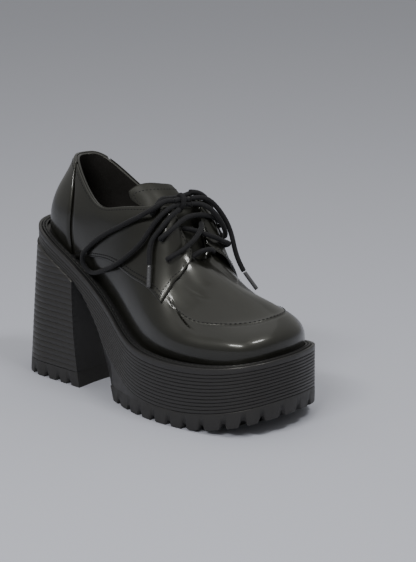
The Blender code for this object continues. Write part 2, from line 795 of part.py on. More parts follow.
def forepart_tread(stand):
    foot = ARCH[-1][0] * RIM_LENGTH
    rear = phase_at(foot)
    phases = side_phases()
    phases = np.concatenate([[rear], phases[phases > rear + 2]])
    loop = np.concatenate([phases, 360 - phases[-2::-1]])

    def ring(height, rear_shift):
        along, across = inset_outline(loop, 0.0)
        across = across.copy()
        along = along.copy()
        along[[0, -1]] -= rear_shift
        return np.stack([along, across, spring_height(along) + height], 1)

    rings = [ring(0.0, 0.0), ring(TREAD_HEIGHT, BREAST_RETURN)]
    columns = len(loop)
    points = np.concatenate(rings)
    faces = loop_faces(2, columns)
    half = columns // 2
    for offset in (0, columns):
        for i in range(half):
            corners = [offset + i, offset + i + 1, offset + columns - i - 2, offset + columns - i - 1]
            faces.append(tuple(dict.fromkeys(corners)))
    body = solid("forepart_tread", points, faces, "tread_rubber", stand, sharp=30)
    places = []
    for turn in FOREPART_GROOVES:
        for phase in (turn, 360 - turn):
            edge = inset_outline(phase, 0.0)
            inside = inset_outline(phase, LUG_REACH)
            inward = [(b - a) / LUG_REACH for a, b in zip(edge, inside)]
            places.append((edge, inward))
    points, faces = groove_prisms(places, spring_height)
    cut(body, solid("forepart_grooves", points, faces, "tread_rubber", stand))


def heel_tread(stand):
    rings = [heel_loop(0.0, 0.0), heel_loop(TREAD_HEIGHT, 0.0)]
    columns = len(rings[0])
    faces = loop_faces(2, columns)
    faces.append(tuple(range(columns)))
    faces.append(tuple(range(columns, 2 * columns)))
    body = solid("heel_tread", np.concatenate(rings), faces, "tread_rubber", stand, sharp=30)
    places = []
    length = HEEL_SEAT_LENGTH + BREAST_FLARE
    for share in HEEL_GROOVES:
        for sign in (-1, 1):
            places.append(((share * length, sign * HEEL_FLOOR_WIDTH / 2), (0.0, -sign)))
    for across in (-0.5, 0.0, 0.5):
        places.append(((-HEEL_FLOOR_BACK, across * HEEL_FLOOR_WIDTH / 2), (1.0, 0.0)))
    points, faces = groove_prisms(places, lambda x: 0.0)
    cut(body, solid("heel_grooves", points, faces, "tread_rubber", stand))


def welt(stand):
    """The stitched strip in the ledge, between the rim's lip and the foot of the upper."""
    start = LIP_WIDTH + 2 * GAP
    outer_low = platform_loop(start, floor_height) + [0, 0, GAP]
    outer_high = platform_loop(start + GAP, floor_height) + [0, 0, WELT_THICKNESS]
    inner_low = platform_loop(start + WELT_WIDTH, floor_height) + [0, 0, GAP]
    inner_high = platform_loop(start + WELT_WIDTH, floor_height) + [0, 0, WELT_THICKNESS + GAP]
    points, faces = hollow_loops([outer_low, outer_high], [inner_low, inner_high])
    solid("welt", points, faces, "welt", stand)


def insole(stand):
    phases = loop_phases()
    rings = []
    for rise in (GAP, GAP + INSOLE_THICKNESS):
        along, across = inset_outline(phases, ledge(phases) + WALL + 3 * GAP)
        rings.append(np.stack([along, across, floor_height(along) + rise], 1))
    points, faces = stacked_loops(rings)
    solid("insole", points, faces, "lining", stand)


# Upper and its panels

UPPER_ROWS = (0.0, 0.5, 1.0, 1.4, 1.7, 2.0, 2.35, 2.7, 3.1, 3.55, 4.0)


def upper(stand):
    phases = loop_phases()
    outer, inner = [], []
    for level in UPPER_ROWS:
        levels = np.full(len(phases), level)
        outer.append(upper_points(phases, levels))
        inner.append(upper_skin(phases, levels, np.full(len(phases), -WALL)))
    foot = outer[0].copy()
    foot[:, 2] = floor_height(foot[:, 0]) + GAP
    outer[0] = foot
    inner[0][:, 2] = floor_height(inner[0][:, 0]) + GAP
    points, faces = hollow_loops(outer, inner)
    solid("upper", points, faces, "upper_leather", stand, sharp=50)


def panel_patch(bottom, top, rear, front, upward, across):
    """A grid of phase, level and lift that blends between four edge curves, each a function of 0 to 1."""
    rows, columns = len(upward), len(across)
    low, high = bottom(across), top(across)
    back, fore = rear(upward), front(upward)
    grid = np.zeros((rows, columns, 3))
    for r, t in enumerate(upward):
        for c, s in enumerate(across):
            ruled = (1 - t) * low[c] + t * high[c] + (1 - s) * back[r] + s * fore[r]
            corners = (1 - s) * (1 - t) * low[0] + s * (1 - t) * low[-1]
            corners = corners + (1 - s) * t * high[0] + s * t * high[-1]
            grid[r, c] = ruled - corners
    return grid


def panel(name, grid, thickness, gap, slot, stand):
    """A panel laid on the upper: the grid's third value lifts its skin off the wall."""
    rows, columns = grid.shape[:2]
    phase, level, lift = (grid[:, :, i].ravel() for i in range(3))
    level = np.clip(level, 0.0, 4.0)
    low = upper_skin(phase, level, lift + gap).reshape(rows, columns, 3)
    high = upper_skin(phase, level, lift + gap + thickness).reshape(rows, columns, 3)
    for skin in (low, high):
        foot = level.reshape(rows, columns) < 0.02
        skin[foot, 2] = floor_height(skin[foot, 0]) + GAP
    points, faces = slab(high, low)
    solid(name, points, faces, slot, stand, sharp=50)


def counter(stand):
    levels = np.array([0.0, 0.6, 1.2, 1.8, 2.4, 3.0, 3.5, 4.0])
    seam = open_curve(column(COUNTER_SEAM, 0), column(COUNTER_SEAM, 1))
    spread = np.linspace(-1, 1, 17)
    grid = np.zeros((len(levels), len(spread), 3))
    for r, level in enumerate(levels):
        grid[r, :, 0] = spread * float(seam(level))
        grid[r, :, 1] = level
    panel("counter", grid, COUNTER_THICKNESS, SKIN_GAP, "upper_leather", stand)


def path(rows, count):
    """Columns of a table as smooth curves over 0 to 1, by the row's own spacing."""
    table = np.array(rows, float)
    scaled = table[:, :2] / [20.0, 1.0]
    steps = np.linalg.norm(np.diff(scaled, axis=0), axis=1)
    knots = np.concatenate([[0.0], np.cumsum(steps) / steps.sum()])
    curves = [open_curve(knots, table[:, i]) for i in range(count)]
    return lambda at: np.stack([curve(at) for curve in curves], 1)


def quarter(name, side, stand):
    """A side panel: heel seam at the rear, collar above, tab and facing flap at the front."""
    seam = open_curve(column(COUNTER_SEAM, 0), column(COUNTER_SEAM, 1))

    def rear(at):
        level = at * 4.0
        return np.stack([seam(level) + SEAM_MARGIN, level, np.zeros(len(at))], 1)

    def top(at):
        start, end = rear(np.array([1.0]))[0], QUARTER_FRONT[-1]
        phase = start[0] + (end[0] - start[0]) * at
        lift = end[2] * FLAP_LIFT * blend(phase, 104.0, end[0])
        return np.stack([phase, np.full(len(at), 4.0), lift], 1)

    front_rows = [(phase, level, lift * FLAP_LIFT) for phase, level, lift in QUARTER_FRONT]
    seam_rows = [(phase, level, 0.0) for phase, level in QUARTER_SEAM]
    grid = panel_patch(path(seam_rows, 3), top, rear, path(front_rows, 3),
                       np.linspace(0, 1, 9), np.array(QUARTER_COLUMNS))
    if side > 0:
        grid[:, :, 0] = 360.0 - grid[:, :, 0]
    panel(name, grid, QUARTER_THICKNESS, QUARTER_GAP, "upper_leather", stand)


def across_sections(controls, shares):
    """Sections through control points, one list a station, sampled at shares of their own length."""
    grid = []
    for points in controls:
        steps = np.linalg.norm(np.diff(points, axis=0), axis=1)
        knots = np.concatenate([[0.0], np.cumsum(steps) / steps.sum()])
        grid.append(np.stack([open_curve(knots, points[:, i])(shares) for i in range(3)], 1))
    return np.array(grid)


def grid_normals(grid):
    along = np.gradient(grid, axis=0)
    across = np.gradient(grid, axis=1)
    normal = np.cross(across, along)
    return normal / np.linalg.norm(normal, axis=2)[:, :, None]


def tongue_grid(stations, shares):
    """The tongue's outer face: seated against the wall's inner face, then free above the collar."""
    controls = []
    for edge, edge_level, shoulder, shoulder_level, depth, bulge in TONGUE_SEAT:
        phases = [edge, shoulder, 360 - shoulder, 360 - edge]
        levels = [edge_level, shoulder_level, shoulder_level, edge_level]
        outer = upper_skin(phases, levels, [-WALL - GAP - depth] * 4)
        middle = (outer[1] + outer[2]) / 2 + np.array([0.78, 0.0, 0.62]) * bulge
        controls.append(np.array([outer[0], outer[1], middle, outer[2], outer[3]]))
    size = np.array([RIM_LENGTH, RIM_WIDTH, BACK_HEIGHT])
    for row in TONGUE_TOP:
        edge, shoulder = np.array(row[:3]) * size, np.array(row[3:6]) * size
        middle = np.array([row[6], 0.0, row[7]]) * size
        mirror = np.array([1, -1, 1])
        lean = np.array([0.0, 0.0, row[8] * BACK_HEIGHT])
        less = lean * row[4] / row[1]
        outer_side = [edge * mirror + lean, shoulder * mirror + less]
        controls.append(np.array(outer_side + [middle, shoulder - less, edge - lean]))
    sections = across_sections(np.array(controls), shares)
    steps = np.linalg.norm(np.diff(sections[:, len(shares) // 2], axis=0), axis=1)
    knots = np.concatenate([[0.0], np.cumsum(steps) / steps.sum()])
    grid = np.zeros((len(stations), len(shares), 3))
    for c, share in enumerate(shares):
        reach = 1 - TONGUE_CORNER * abs(2 * share - 1) ** TONGUE_CORNER_POWER
        for i in range(3):
            grid[:, c, i] = open_curve(knots, sections[:, c, i])(stations * reach)
    return grid


def tongue(stand):
    top = tongue_grid(np.linspace(0, 1, 11), np.linspace(0, 1, 9))
    bottom = top - grid_normals(top) * TONGUE_THICKNESS
    points, faces = slab(top, bottom)
    solid("tongue", points, faces, "upper_leather", stand, sharp=50)


# Lace

def lace_curve(points):
    """A route's own points joined by a smooth curve, with a point about every two and a half diameters."""
    points = np.array(points) / 1000
    steps = np.linalg.norm(np.diff(points, axis=0), axis=1)
    knots = np.concatenate([[0.0], np.cumsum(steps)])
    count = max(2, int(round(knots[-1] / (LACE_POINT_SPACING * LACE))) + 1)
    at = np.linspace(0, knots[-1], count)
    return np.stack([open_curve(knots, points[:, i])(at) for i in range(3)], 1)


def tube(name, points, diameter, slot, stand):
    curve = bpy.data.curves.new(name, "CURVE")
    curve.dimensions = "3D"
    curve.bevel_depth = diameter / 2
    curve.bevel_resolution = 2
    curve.use_fill_caps = True
    spline = curve.splines.new("POLY")
    spline.points.add(len(points) - 1)
    for point, place in zip(spline.points, points):
        point.co = (*place, 1.0)
    curve.materials.append(material(slot))
    piece = bpy.data.objects.new(name, curve)
    bpy.context.collection.objects.link(piece)
    piece.parent = stand


def knot(stand):
    shape = bmesh.new()
    bmesh.ops.create_icosphere(shape, subdivisions=2, radius=0.001)
    mesh = bpy.data.meshes.new("bow_knot")
    for vertex in shape.verts:
        vertex.co = [m / 1000 + h * c for m, h, c in zip(KNOT_MIDDLE, KNOT_HALF, vertex.co)]
    shape.to_mesh(mesh)
    shape.free()
    mesh.shade_smooth()
    mesh.materials.append(material("lace"))
    piece = bpy.data.objects.new("bow_knot", mesh)
    bpy.context.collection.objects.link(piece)
    piece.parent = stand


def lace(stand):
    for number, half in enumerate(LACE_BARS, 1):
        route = half + [(x, -y, z) for x, y, z in half[-2::-1]]
        tube("lace_bar_%d" % number, lace_curve(route), LACE, "lace", stand)
    knot(stand)
    strands = {
        "bow_loop_lateral": BOW_LOOP_LATERAL,
        "bow_loop_medial": BOW_LOOP_MEDIAL,
        "lace_end_lateral": LACE_END_LATERAL,
        "lace_end_medial": LACE_END_MEDIAL,
    }
    for name, route in strands.items():
        tube(name, lace_curve(route), LACE, "lace", stand)
    tube("aglet_lateral", np.array(AGLET_LATERAL) / 1000, AGLET, "aglet", stand)
    tube("aglet_medial", np.array(AGLET_MEDIAL) / 1000, AGLET, "aglet", stand)


def main():
    for old in list(bpy.data.objects):
        bpy.data.objects.remove(old, do_unlink=True)
    stand = bpy.data.objects.new("shoe", None)
    bpy.context.collection.objects.link(stand)
    stand.location = (-HEEL_SEAT_LENGTH / 2, 0.0, 0.0)
    platform(stand)
    heel_block(stand)
    forepart_tread(stand)
    heel_tread(stand)
    welt(stand)
    insole(stand)
    upper(stand)
    counter(stand)
    quarter("quarter_lateral", -1, stand)
    quarter("quarter_medial", 1, stand)
    tongue(stand)
    lace(stand)


main()
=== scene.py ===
# %% [markdown]
# # A heeled oxford shoe, dressed
# The measured solids of this shoe are already made. This lesson gives them their looks: glossy leather,
# ribbed rubber, stitches and a woven lace. Every piece is worked out again from the same sizes as the
# solid that it replaces, only with a finer mesh.

# %% The frame
import math

import bmesh
import bpy
import numpy as np
from mathutils import Matrix, Vector

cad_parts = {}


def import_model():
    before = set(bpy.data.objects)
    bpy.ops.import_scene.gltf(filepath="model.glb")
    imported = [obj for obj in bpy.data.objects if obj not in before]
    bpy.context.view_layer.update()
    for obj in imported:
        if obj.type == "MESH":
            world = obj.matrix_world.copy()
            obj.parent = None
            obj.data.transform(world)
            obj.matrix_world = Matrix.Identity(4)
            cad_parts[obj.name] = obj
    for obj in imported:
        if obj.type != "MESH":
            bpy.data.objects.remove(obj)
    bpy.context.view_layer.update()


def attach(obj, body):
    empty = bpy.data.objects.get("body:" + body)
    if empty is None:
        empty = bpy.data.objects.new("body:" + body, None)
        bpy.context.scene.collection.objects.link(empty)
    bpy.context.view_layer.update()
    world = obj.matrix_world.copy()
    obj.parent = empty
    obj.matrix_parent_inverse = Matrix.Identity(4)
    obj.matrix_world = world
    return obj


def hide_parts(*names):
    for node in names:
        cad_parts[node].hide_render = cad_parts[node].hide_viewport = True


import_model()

# %% [markdown]
# ## Camera
# A product picture is taken from a distance with a long lens, so that the shoe isn't distorted. The
# azimuth, height and roll were found by fitting a pinhole camera to the sole's rim. Writing the camera's
# three axes into a matrix keeps the roll exact, which aiming with a constraint would not.

# %% Camera
ORIGIN_FROM_RIM = 0.03025
CAMERA_AZIMUTH = 44.4
CAMERA_ELEVATION = 14.3
CAMERA_ROLL = -0.6
CAMERA_DISTANCE = 1.193
CAMERA_TARGET = (0.125 - ORIGIN_FROM_RIM, 0.0, 0.060)
FRAME_OFFSET = (0.033, 0.0268)
FOCAL_PIXELS = 1577.0
IMAGE_HEIGHT = 562
SENSOR = 36.0


def place_camera():
    turn, lift, roll = (math.radians(v) for v in (CAMERA_AZIMUTH, CAMERA_ELEVATION, CAMERA_ROLL))
    back = Vector((math.sin(turn) * math.cos(lift), -math.cos(turn) * math.cos(lift), math.sin(lift)))
    level = Vector((math.cos(turn), math.sin(turn), 0))
    upright = back.cross(level)
    right = level * math.cos(roll) + upright * math.sin(roll)
    up = upright * math.cos(roll) - level * math.sin(roll)
    data = bpy.data.cameras.new("camera")
    data.sensor_width = SENSOR
    data.lens = FOCAL_PIXELS / IMAGE_HEIGHT * SENSOR
    data.clip_end = 50
    camera = bpy.data.objects.new("camera", data)
    bpy.context.collection.objects.link(camera)
    axes = Matrix((right, up, back)).transposed().to_4x4()
    middle = Vector(CAMERA_TARGET) + right * FRAME_OFFSET[0] + up * FRAME_OFFSET[1]
    axes.translation = middle + back * CAMERA_DISTANCE
    camera.matrix_world = axes
    bpy.context.scene.camera = camera
    return back, right


VIEW_BACK, VIEW_RIGHT = place_camera()
print("camera:", [round(v, 3) for v in bpy.context.scene.camera.location])

# %% [markdown]
# ## Helpers for curves and meshes
# All of the shoe's edges come from short tables. A natural cubic spline joins their rows smoothly, and a
# periodic one closes round the shoe, so no seam shows at the heel. Meshes are written as rings or grids
# of points, because then any row of the mesh can follow a seam.

# %% Curves
def between_knots(ahead, behind, step, values, bends):
    """A cubic between two knots, from the values and the second slopes at both."""
    cubic = (bends[0] * ahead ** 3 + bends[1] * behind ** 3) / (6 * step)
    left = (values[0] / step - bends[0] * step / 6) * ahead
    return cubic + left + (values[1] / step - bends[1] * step / 6) * behind


def read_curve(knots, values, bend, at):
    i = np.clip(np.searchsorted(knots, at, side="right") - 1, 0, len(knots) - 2)
    pair = ((values[i], values[i + 1]), (bend[i], bend[i + 1]))
    return between_knots(knots[i + 1] - at, at - knots[i], knots[i + 1] - knots[i], *pair)


def closed_curve(knots, values):
    """A smooth closed curve through values at the given phases: returns a function of phase."""
    knots = np.append(knots, knots[0] + 360.0)
    values = np.append(values, values[0])
    count = len(knots) - 1
    steps = np.diff(knots)
    slopes = np.diff(values) / steps
    system = np.zeros((count, count))
    for i in range(count):
        system[i, i - 1] += steps[i - 1]
        system[i, i] += 2 * (steps[i - 1] + steps[i])
        system[i, (i + 1) % count] += steps[i]
    bend = np.linalg.solve(system, 6 * (slopes - np.roll(slopes, 1)))
    bend = np.append(bend, bend[0])
    return lambda phase: read_curve(
        knots, values, bend, knots[0] + np.mod(np.asarray(phase, float) - knots[0], 360.0))


def open_curve(knots, values):
    """A natural smooth curve through values at the knots, straight beyond its ends."""
    knots = np.asarray(knots, float)
    values = np.asarray(values, float)
    steps = np.diff(knots)
    slopes = np.diff(values) / steps
    system = np.eye(len(knots))
    right = np.zeros(len(knots))
    for i in range(1, len(knots) - 1):
        system[i, i - 1:i + 2] = steps[i - 1], 2 * (steps[i - 1] + steps[i]), steps[i]
        right[i] = 6 * (slopes[i] - slopes[i - 1])
    bend = np.linalg.solve(system, right)
    first = slopes[0] - steps[0] * bend[1] / 6
    last = slopes[-1] + steps[-1] * bend[-2] / 6

    def curve(at):
        at = np.asarray(at, float)
        value = read_curve(knots, values, bend, np.clip(at, knots[0], knots[-1]))
        return value + np.minimum(at - knots[0], 0) * first + np.maximum(at - knots[-1], 0) * last

    return curve


def travelled(line):
    """The way from a line's start to each of its points."""
    return np.concatenate([[0.0], np.cumsum(np.linalg.norm(np.diff(line, axis=0), axis=1))])


def through(knots, points, at):
    """Smooth curves through the columns of a table, read at the given places."""
    return np.stack([open_curve(knots, points[:, i])(at) for i in range(points.shape[1])], 1)


def column(rows, index):
    return np.array([row[index] for row in rows], float)


print("a curve through 0, 1 and 0, halfway to its top:", float(open_curve((0, 1, 2), (0, 1, 0))(0.5)))

# %% Mesh helpers
SHIFT = np.array([-ORIGIN_FROM_RIM, 0.0, 0.0])


def piece(name, points, faces, node, slot, materials, inner=0, sharp=40):
    """One closed piece in the row frame; the last faces, counted by inner, take the second material."""
    mesh = bpy.data.meshes.new(name)
    mesh.from_pydata([tuple(p) for p in np.asarray(points) + SHIFT], [], [tuple(f) for f in faces])
    for material in materials:
        mesh.materials.append(material)
    for face in mesh.polygons[len(faces) - inner:]:
        face.material_index = 1
    shape = bmesh.new()
    shape.from_mesh(mesh)
    bmesh.ops.recalc_face_normals(shape, faces=shape.faces[:])
    shape.to_mesh(mesh)
    shape.free()
    mesh.shade_smooth()
    mesh.set_sharp_from_angle(angle=math.radians(sharp))
    made = bpy.data.objects.new(name, mesh)
    bpy.context.collection.objects.link(made)
    if slot:
        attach(made, "root")
    if node:
        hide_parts(node)
    return made


def take_away(made, points, faces):
    """Cuts a closed shape out of a piece and keeps only the result."""
    tool = piece("cutting_shape", points, faces, None, None, [])
    boolean = made.modifiers.new("cut", "BOOLEAN")
    boolean.operation = "DIFFERENCE"
    boolean.solver = "EXACT"
    boolean.object = tool
    bpy.context.view_layer.update()
    result = made.evaluated_get(bpy.context.evaluated_depsgraph_get())
    cut = bpy.data.meshes.new_from_object(result)
    made.modifiers.clear()
    made.data = cut
    bpy.data.objects.remove(tool, do_unlink=True)


def loop_faces(rows, columns, offset=0):
    """Quads between closed loops of points that are stored row after row."""
    faces = []
    for row in range(rows - 1):
        for i in range(columns):
            j = (i + 1) % columns
            low, high = offset + row * columns, offset + (row + 1) * columns
            faces.append((low + i, low + j, high + j, high + i))
    return faces


def ladder_faces(columns, offset):
    """Closes a loop straight across, from each outer point to the inner point opposite."""
    half = columns // 2
    faces = []
    for i in range(half):
        corners = [offset + i, offset + i + 1, offset + columns - i - 1, offset + (columns - i) % columns]
        faces.append(tuple(dict.fromkeys(corners)))
    return faces


def stacked_loops(rings):
    """Closed loops in a stack, capped straight across at both ends."""
    columns = len(rings[0])
    faces = loop_faces(len(rings), columns)
    faces += ladder_faces(columns, 0)
    faces += ladder_faces(columns, (len(rings) - 1) * columns)
    return np.concatenate(rings), faces


def capped_loops(rings):
    """Closed loops in a stack, with one face over each end."""
    columns, points = len(rings[0]), np.concatenate(rings)
    faces = loop_faces(len(rings), columns)
    return points, faces + [tuple(range(columns)), tuple(range(len(points) - columns, len(points)))]


def ring_of_loops(rings):
    """Closed loops joined in turn and back to the first, like a tyre or an open wall."""
    columns = len(rings[0])
    faces = loop_faces(len(rings), columns)
    last = (len(rings) - 1) * columns
    faces += [(last + i, last + (i + 1) % columns, (i + 1) % columns, i) for i in range(columns)]
    return np.concatenate(rings), faces


def slab(top, bottom):
    """A plate between two grids of points, rows by columns, closed round its edge."""
    rows, columns = top.shape[:2]
    count = rows * columns
    faces = []
    for r in range(rows - 1):
        for c in range(columns - 1):
            low, high = r * columns + c, (r + 1) * columns + c
            corners = [low, low + 1, high + 1, high]
            faces.append(tuple(corners))
            faces.append(tuple(i + count for i in corners))
    edge = list(range(columns))
    edge += [r * columns + columns - 1 for r in range(1, rows)]
    edge += [(rows - 1) * columns + c for c in range(columns - 2, -1, -1)]
    edge += [r * columns for r in range(rows - 2, 0, -1)]
    for i, j in zip(edge, edge[1:] + edge[:1]):
        faces.append((i, j, j + count, i + count))
    return np.concatenate([top.reshape(-1, 3), bottom.reshape(-1, 3)]), faces


def cutter(profile, half_width):
    """A closed outline seen from the side, drawn through the shoe from one side to the other."""
    count = len(profile)
    points = [(x, -half_width, z) for x, z in profile] + [(x, half_width, z) for x, z in profile]
    faces = [tuple(range(count)), tuple(range(count, 2 * count))]
    faces += [(i, (i + 1) % count, count + (i + 1) % count, count + i) for i in range(count)]
    return points, faces


print("two rows of four points have", len(loop_faces(2, 4)), "faces between them")

# %% [markdown]
# ## Finishes
# Black on black only reads through gloss, so each finish is mostly a roughness and a fine bump. The
# leather is corrected grain: almost mirror smooth, a thin clear coat over a soft base, with a slow
# unevenness that bends the reflections. The tongue is a softer, duller hide. A shader node group would
# hide these values, so one function builds every material from them instead.

# %% Leather, rubber and textile
def tune(node, **values):
    """Sets a node's own sockets; an underscore stands for the space in a socket's name."""
    for name, value in values.items():
        node.inputs[name.replace("_", " ")].default_value = value


def texture(tree, kind, output, **values):
    """A texture in the piece's own coordinates."""
    place = tree.nodes.new("ShaderNodeTexCoord")
    made = tree.nodes.new(kind)
    tune(made, **values)
    tree.links.new(place.outputs["Object"], made.inputs["Vector"])
    return made.outputs[output]


def noise(tree, scale, detail=3.0):
    return texture(tree, "ShaderNodeTexNoise", "Fac", Scale=scale, Detail=detail)


def cells(tree, scale):
    return texture(tree, "ShaderNodeTexVoronoi", "Distance", Scale=scale)


def spread(tree, value, low, high, socket):
    """Sends a texture's 0.3 to 0.7 to a socket as a range of its own."""
    node = tree.nodes.new("ShaderNodeMapRange")
    tune(node, From_Min=0.3, From_Max=0.7, To_Min=low, To_Max=high)
    tree.links.new(value, node.inputs["Value"])
    tree.links.new(node.outputs["Result"], socket)


def surface(name, colour, roughness, bumps, coat=0.0, coat_roughness=0.1, specular=0.5, tint=(1, 1, 1)):
    """One colour, a roughness from low to high in patches of a size, and bumps laid over each other."""
    made = bpy.data.materials.new(name)
    made.use_nodes = True
    tree = made.node_tree
    shader = tree.nodes["Principled BSDF"]
    low, high, patches = roughness
    tune(shader, Base_Color=(*colour, 1.0), Roughness=(low + high) / 2, Coat_Weight=coat,
         Coat_Roughness=coat_roughness, Specular_IOR_Level=specular, Specular_Tint=(*tint, 1.0))
    if high > low:
        spread(tree, noise(tree, patches), low, high, shader.inputs["Roughness"])
    before = None
    for height, strength, distance in bumps(tree):
        node = tree.nodes.new("ShaderNodeBump")
        tune(node, Strength=strength, Distance=distance)
        tree.links.new(height, node.inputs["Height"])
        if before:
            tree.links.new(before, node.inputs["Normal"])
        before = node.outputs["Normal"]
    if before:
        tree.links.new(before, shader.inputs["Normal"])
    return made


def hide(tree):
    return (noise(tree, 38, 2.0), 0.16, 0.0015), (cells(tree, 1500), 0.10, 0.00008)


def moulded(tree):
    return ((noise(tree, 1400, 4.0), 0.22, 0.00012),)


def one_noise(scale, detail, strength, distance):
    return lambda tree: ((noise(tree, scale, detail), strength, distance),)


BLACK_HIDE = (0.0078, 0.0077, 0.0060)
HIDE_TINT = (1.0, 1.0, 0.91)
RUBBER_TINT = (1.0, 0.98, 0.90)
LEATHER = surface("shiny_leather", BLACK_HIDE, (0.28, 0.40, 60), hide, 0.55, 0.12, 0.32, HIDE_TINT)
TONGUE_LEATHER = surface("soft_leather", BLACK_HIDE, (0.50, 0.62, 60), hide, 0.06, 0.35, 0.32, HIDE_TINT)
LINING = surface("lining_leather", (0.0160, 0.0148, 0.0132), (0.62, 0.82, 300),
                 lambda tree: ((cells(tree, 1100), 0.30, 0.00015),), specular=0.3)
SOLE_RUBBER = surface("sole_rubber", (0.0168, 0.0163, 0.0172), (0.32, 0.44, 220), moulded,
                      specular=0.45, tint=RUBBER_TINT)
TREAD_RUBBER = surface("tread_rubber", (0.0176, 0.0171, 0.0178), (0.46, 0.60, 220), moulded,
                       specular=0.45, tint=RUBBER_TINT)
WELT_RUBBER = surface("welt_rubber", (0.0120, 0.0120, 0.0125), (0.40, 0.52, 220), moulded,
                      specular=0.45, tint=RUBBER_TINT)
LACE_WEAVE = surface("woven_lace", (0.0088, 0.0088, 0.0098), (0.68, 0.88, 900),
                     one_noise(4200, 2.0, 0.45, 0.00015), specular=0.2)
tune(LACE_WEAVE.node_tree.nodes["Principled BSDF"], Sheen_Weight=0.06, Sheen_Roughness=0.45)
THREAD = surface("thread", (0.012, 0.012, 0.013), (0.66, 0.66, 0), one_noise(5200, 2.0, 0.3, 0.0001),
                 specular=0.2)
TIP = surface("film_tip", (0.045, 0.045, 0.048), (0.18, 0.34, 500), lambda tree: (), 0.5, 0.12)
print("finishes:", len(bpy.data.materials))

# %% [markdown]
# ## The lace
# The bow is one round woven cord. Each strand is a tube swept along the same points as its
# solid. A plain tube looks like wire, so the sweep's radius swells and dips in a fine diamond pattern,
# which is what a braid does. A curve with a bevel would be shorter to write but can't carry that.

# %% Lace routes
LACE = 0.0038
AGLET = 0.0030
# Lace crossings from the outer eyelet to the middle of the throat, in millimetres from the rim's back
BARS = {
    2: [(154.7, -31.2, 129.8), (158.4, -25.0, 135.2), (158.2, -14.5, 140.2), (156.4, -6.0, 141.8),
        (155.8, 0.0, 142.0)],
    3: [(142.4, -27.4, 146.2), (142.8, -22.6, 151.9), (141.6, -16.0, 155.0), (140.6, -8.0, 154.2),
        (140.4, 0.0, 153.8)],
}

# Bow, in millimetres from the rim's back: the knot's middle, then each strand's route
KNOT_MIDDLE = (148.5, -4.0, 152.2)
BOW_LOOP_LATERAL = [
    (149.2, -12.8, 154.2), (149.0, -18.0, 155.0), (147.8, -23.6, 153.6), (145.2, -28.8, 150.4),
    (140.8, -31.8, 147.2), (134.0, -32.6, 143.4), (126.0, -33.6, 139.4), (117.0, -35.0, 134.6),
    (107.0, -35.8, 129.6), (96.0, -35.8, 123.6), (86.0, -35.4, 117.2), (77.4, -34.2, 111.0),
    (71.0, -32.8, 104.6), (70.0, -31.4, 97.6), (75.4, -31.0, 93.0), (84.0, -32.6, 93.2),
    (96.0, -35.3, 97.4), (109.6, -38.1, 103.2), (123.0, -39.2, 111.0), (133.6, -37.8, 119.4),
    (140.8, -35.6, 127.4), (145.6, -32.0, 136.2), (149.8, -27.6, 144.2), (152.4, -21.0, 149.6),
    (152.6, -14.4, 151.4),
]
BOW_LOOP_MEDIAL = [
    (151.8, 3.8, 149.8), (155.6, 9.0, 149.4), (159.8, 14.2, 146.0), (162.8, 19.2, 140.0),
    (164.2, 24.0, 132.0), (162.2, 28.4, 125.8), (157.8, 31.9, 121.6), (152.2, 33.3, 122.4),
    (148.6, 32.7, 128.6), (147.4, 30.6, 137.2), (147.4, 26.8, 146.0), (147.8, 20.8, 152.6),
    (148.0, 13.4, 156.4), (148.0, 6.2, 158.0),
]
LACE_END_LATERAL = [
    (153.8, -11.2, 148.2), (155.0, -17.4, 146.4), (154.6, -24.2, 142.0), (151.8, -30.2, 134.8),
    (148.6, -34.4, 127.2), (148.8, -37.0, 118.8), (150.4, -38.8, 111.6),
]
LACE_END_MEDIAL = [
    (150.4, 4.4, 153.8), (153.2, 10.8, 153.8), (155.2, 16.4, 152.0), (157.2, 21.8, 147.6),
    (159.4, 26.8, 140.8), (161.6, 30.8, 133.0), (164.2, 33.0, 123.6), (166.4, 33.8, 114.2),
    (169.2, 34.9, 105.0), (172.9, 37.0, 96.4),
]
AGLET_LATERAL = [(150.6, -38.9, 110.9), (153.8, -43.1, 96.0)]
AGLET_MEDIAL = [(173.2, 37.2, 95.8), (182.0, 41.4, 83.2)]
print("points on the long loop:", len(BOW_LOOP_LATERAL))

# %% Braided tubes
BRAID_STRANDS = 8
BRAID_PITCH = 0.0030
BRAID_DEPTH = 0.045
LACE_STEP = 0.0006
AGLET_STEP = 0.0007
AGLET_END = 0.0008


def smooth_route(route, step):
    """A route in millimetres, joined by a smooth curve in metres and sampled about every step."""
    points = np.array(route, float) / 1000
    knots = travelled(points)
    count = max(2, int(round(knots[-1] / step)) + 1)
    return through(knots, points, np.linspace(0, knots[-1], count))


def sweep_frames(line):
    """Two directions across the line at each point, carried along without twisting."""
    ahead = np.gradient(line, axis=0)
    ahead /= np.linalg.norm(ahead, axis=1)[:, None]
    side = np.cross(ahead[0], [0.3, 0.2, 1.0])
    sides = []
    for direction in ahead:
        side = side - direction * side.dot(direction)
        side = side / np.linalg.norm(side)
        sides.append(side)
    sides = np.array(sides)
    return sides, np.cross(ahead, sides)


def tube_mesh(line, radius_at, around=16):
    """Rings round a line with closed ends; radius_at takes the way along, the angle and the whole way."""
    one, two = sweep_frames(line)
    along = travelled(line)
    angle = np.linspace(0, 2 * math.pi, around, endpoint=False)
    rings = []
    for i, centre in enumerate(line):
        radius = radius_at(along[i], angle, along[-1])[:, None]
        rings.append(centre + radius * (np.cos(angle)[:, None] * one[i] + np.sin(angle)[:, None] * two[i]))
    return capped_loops(rings)


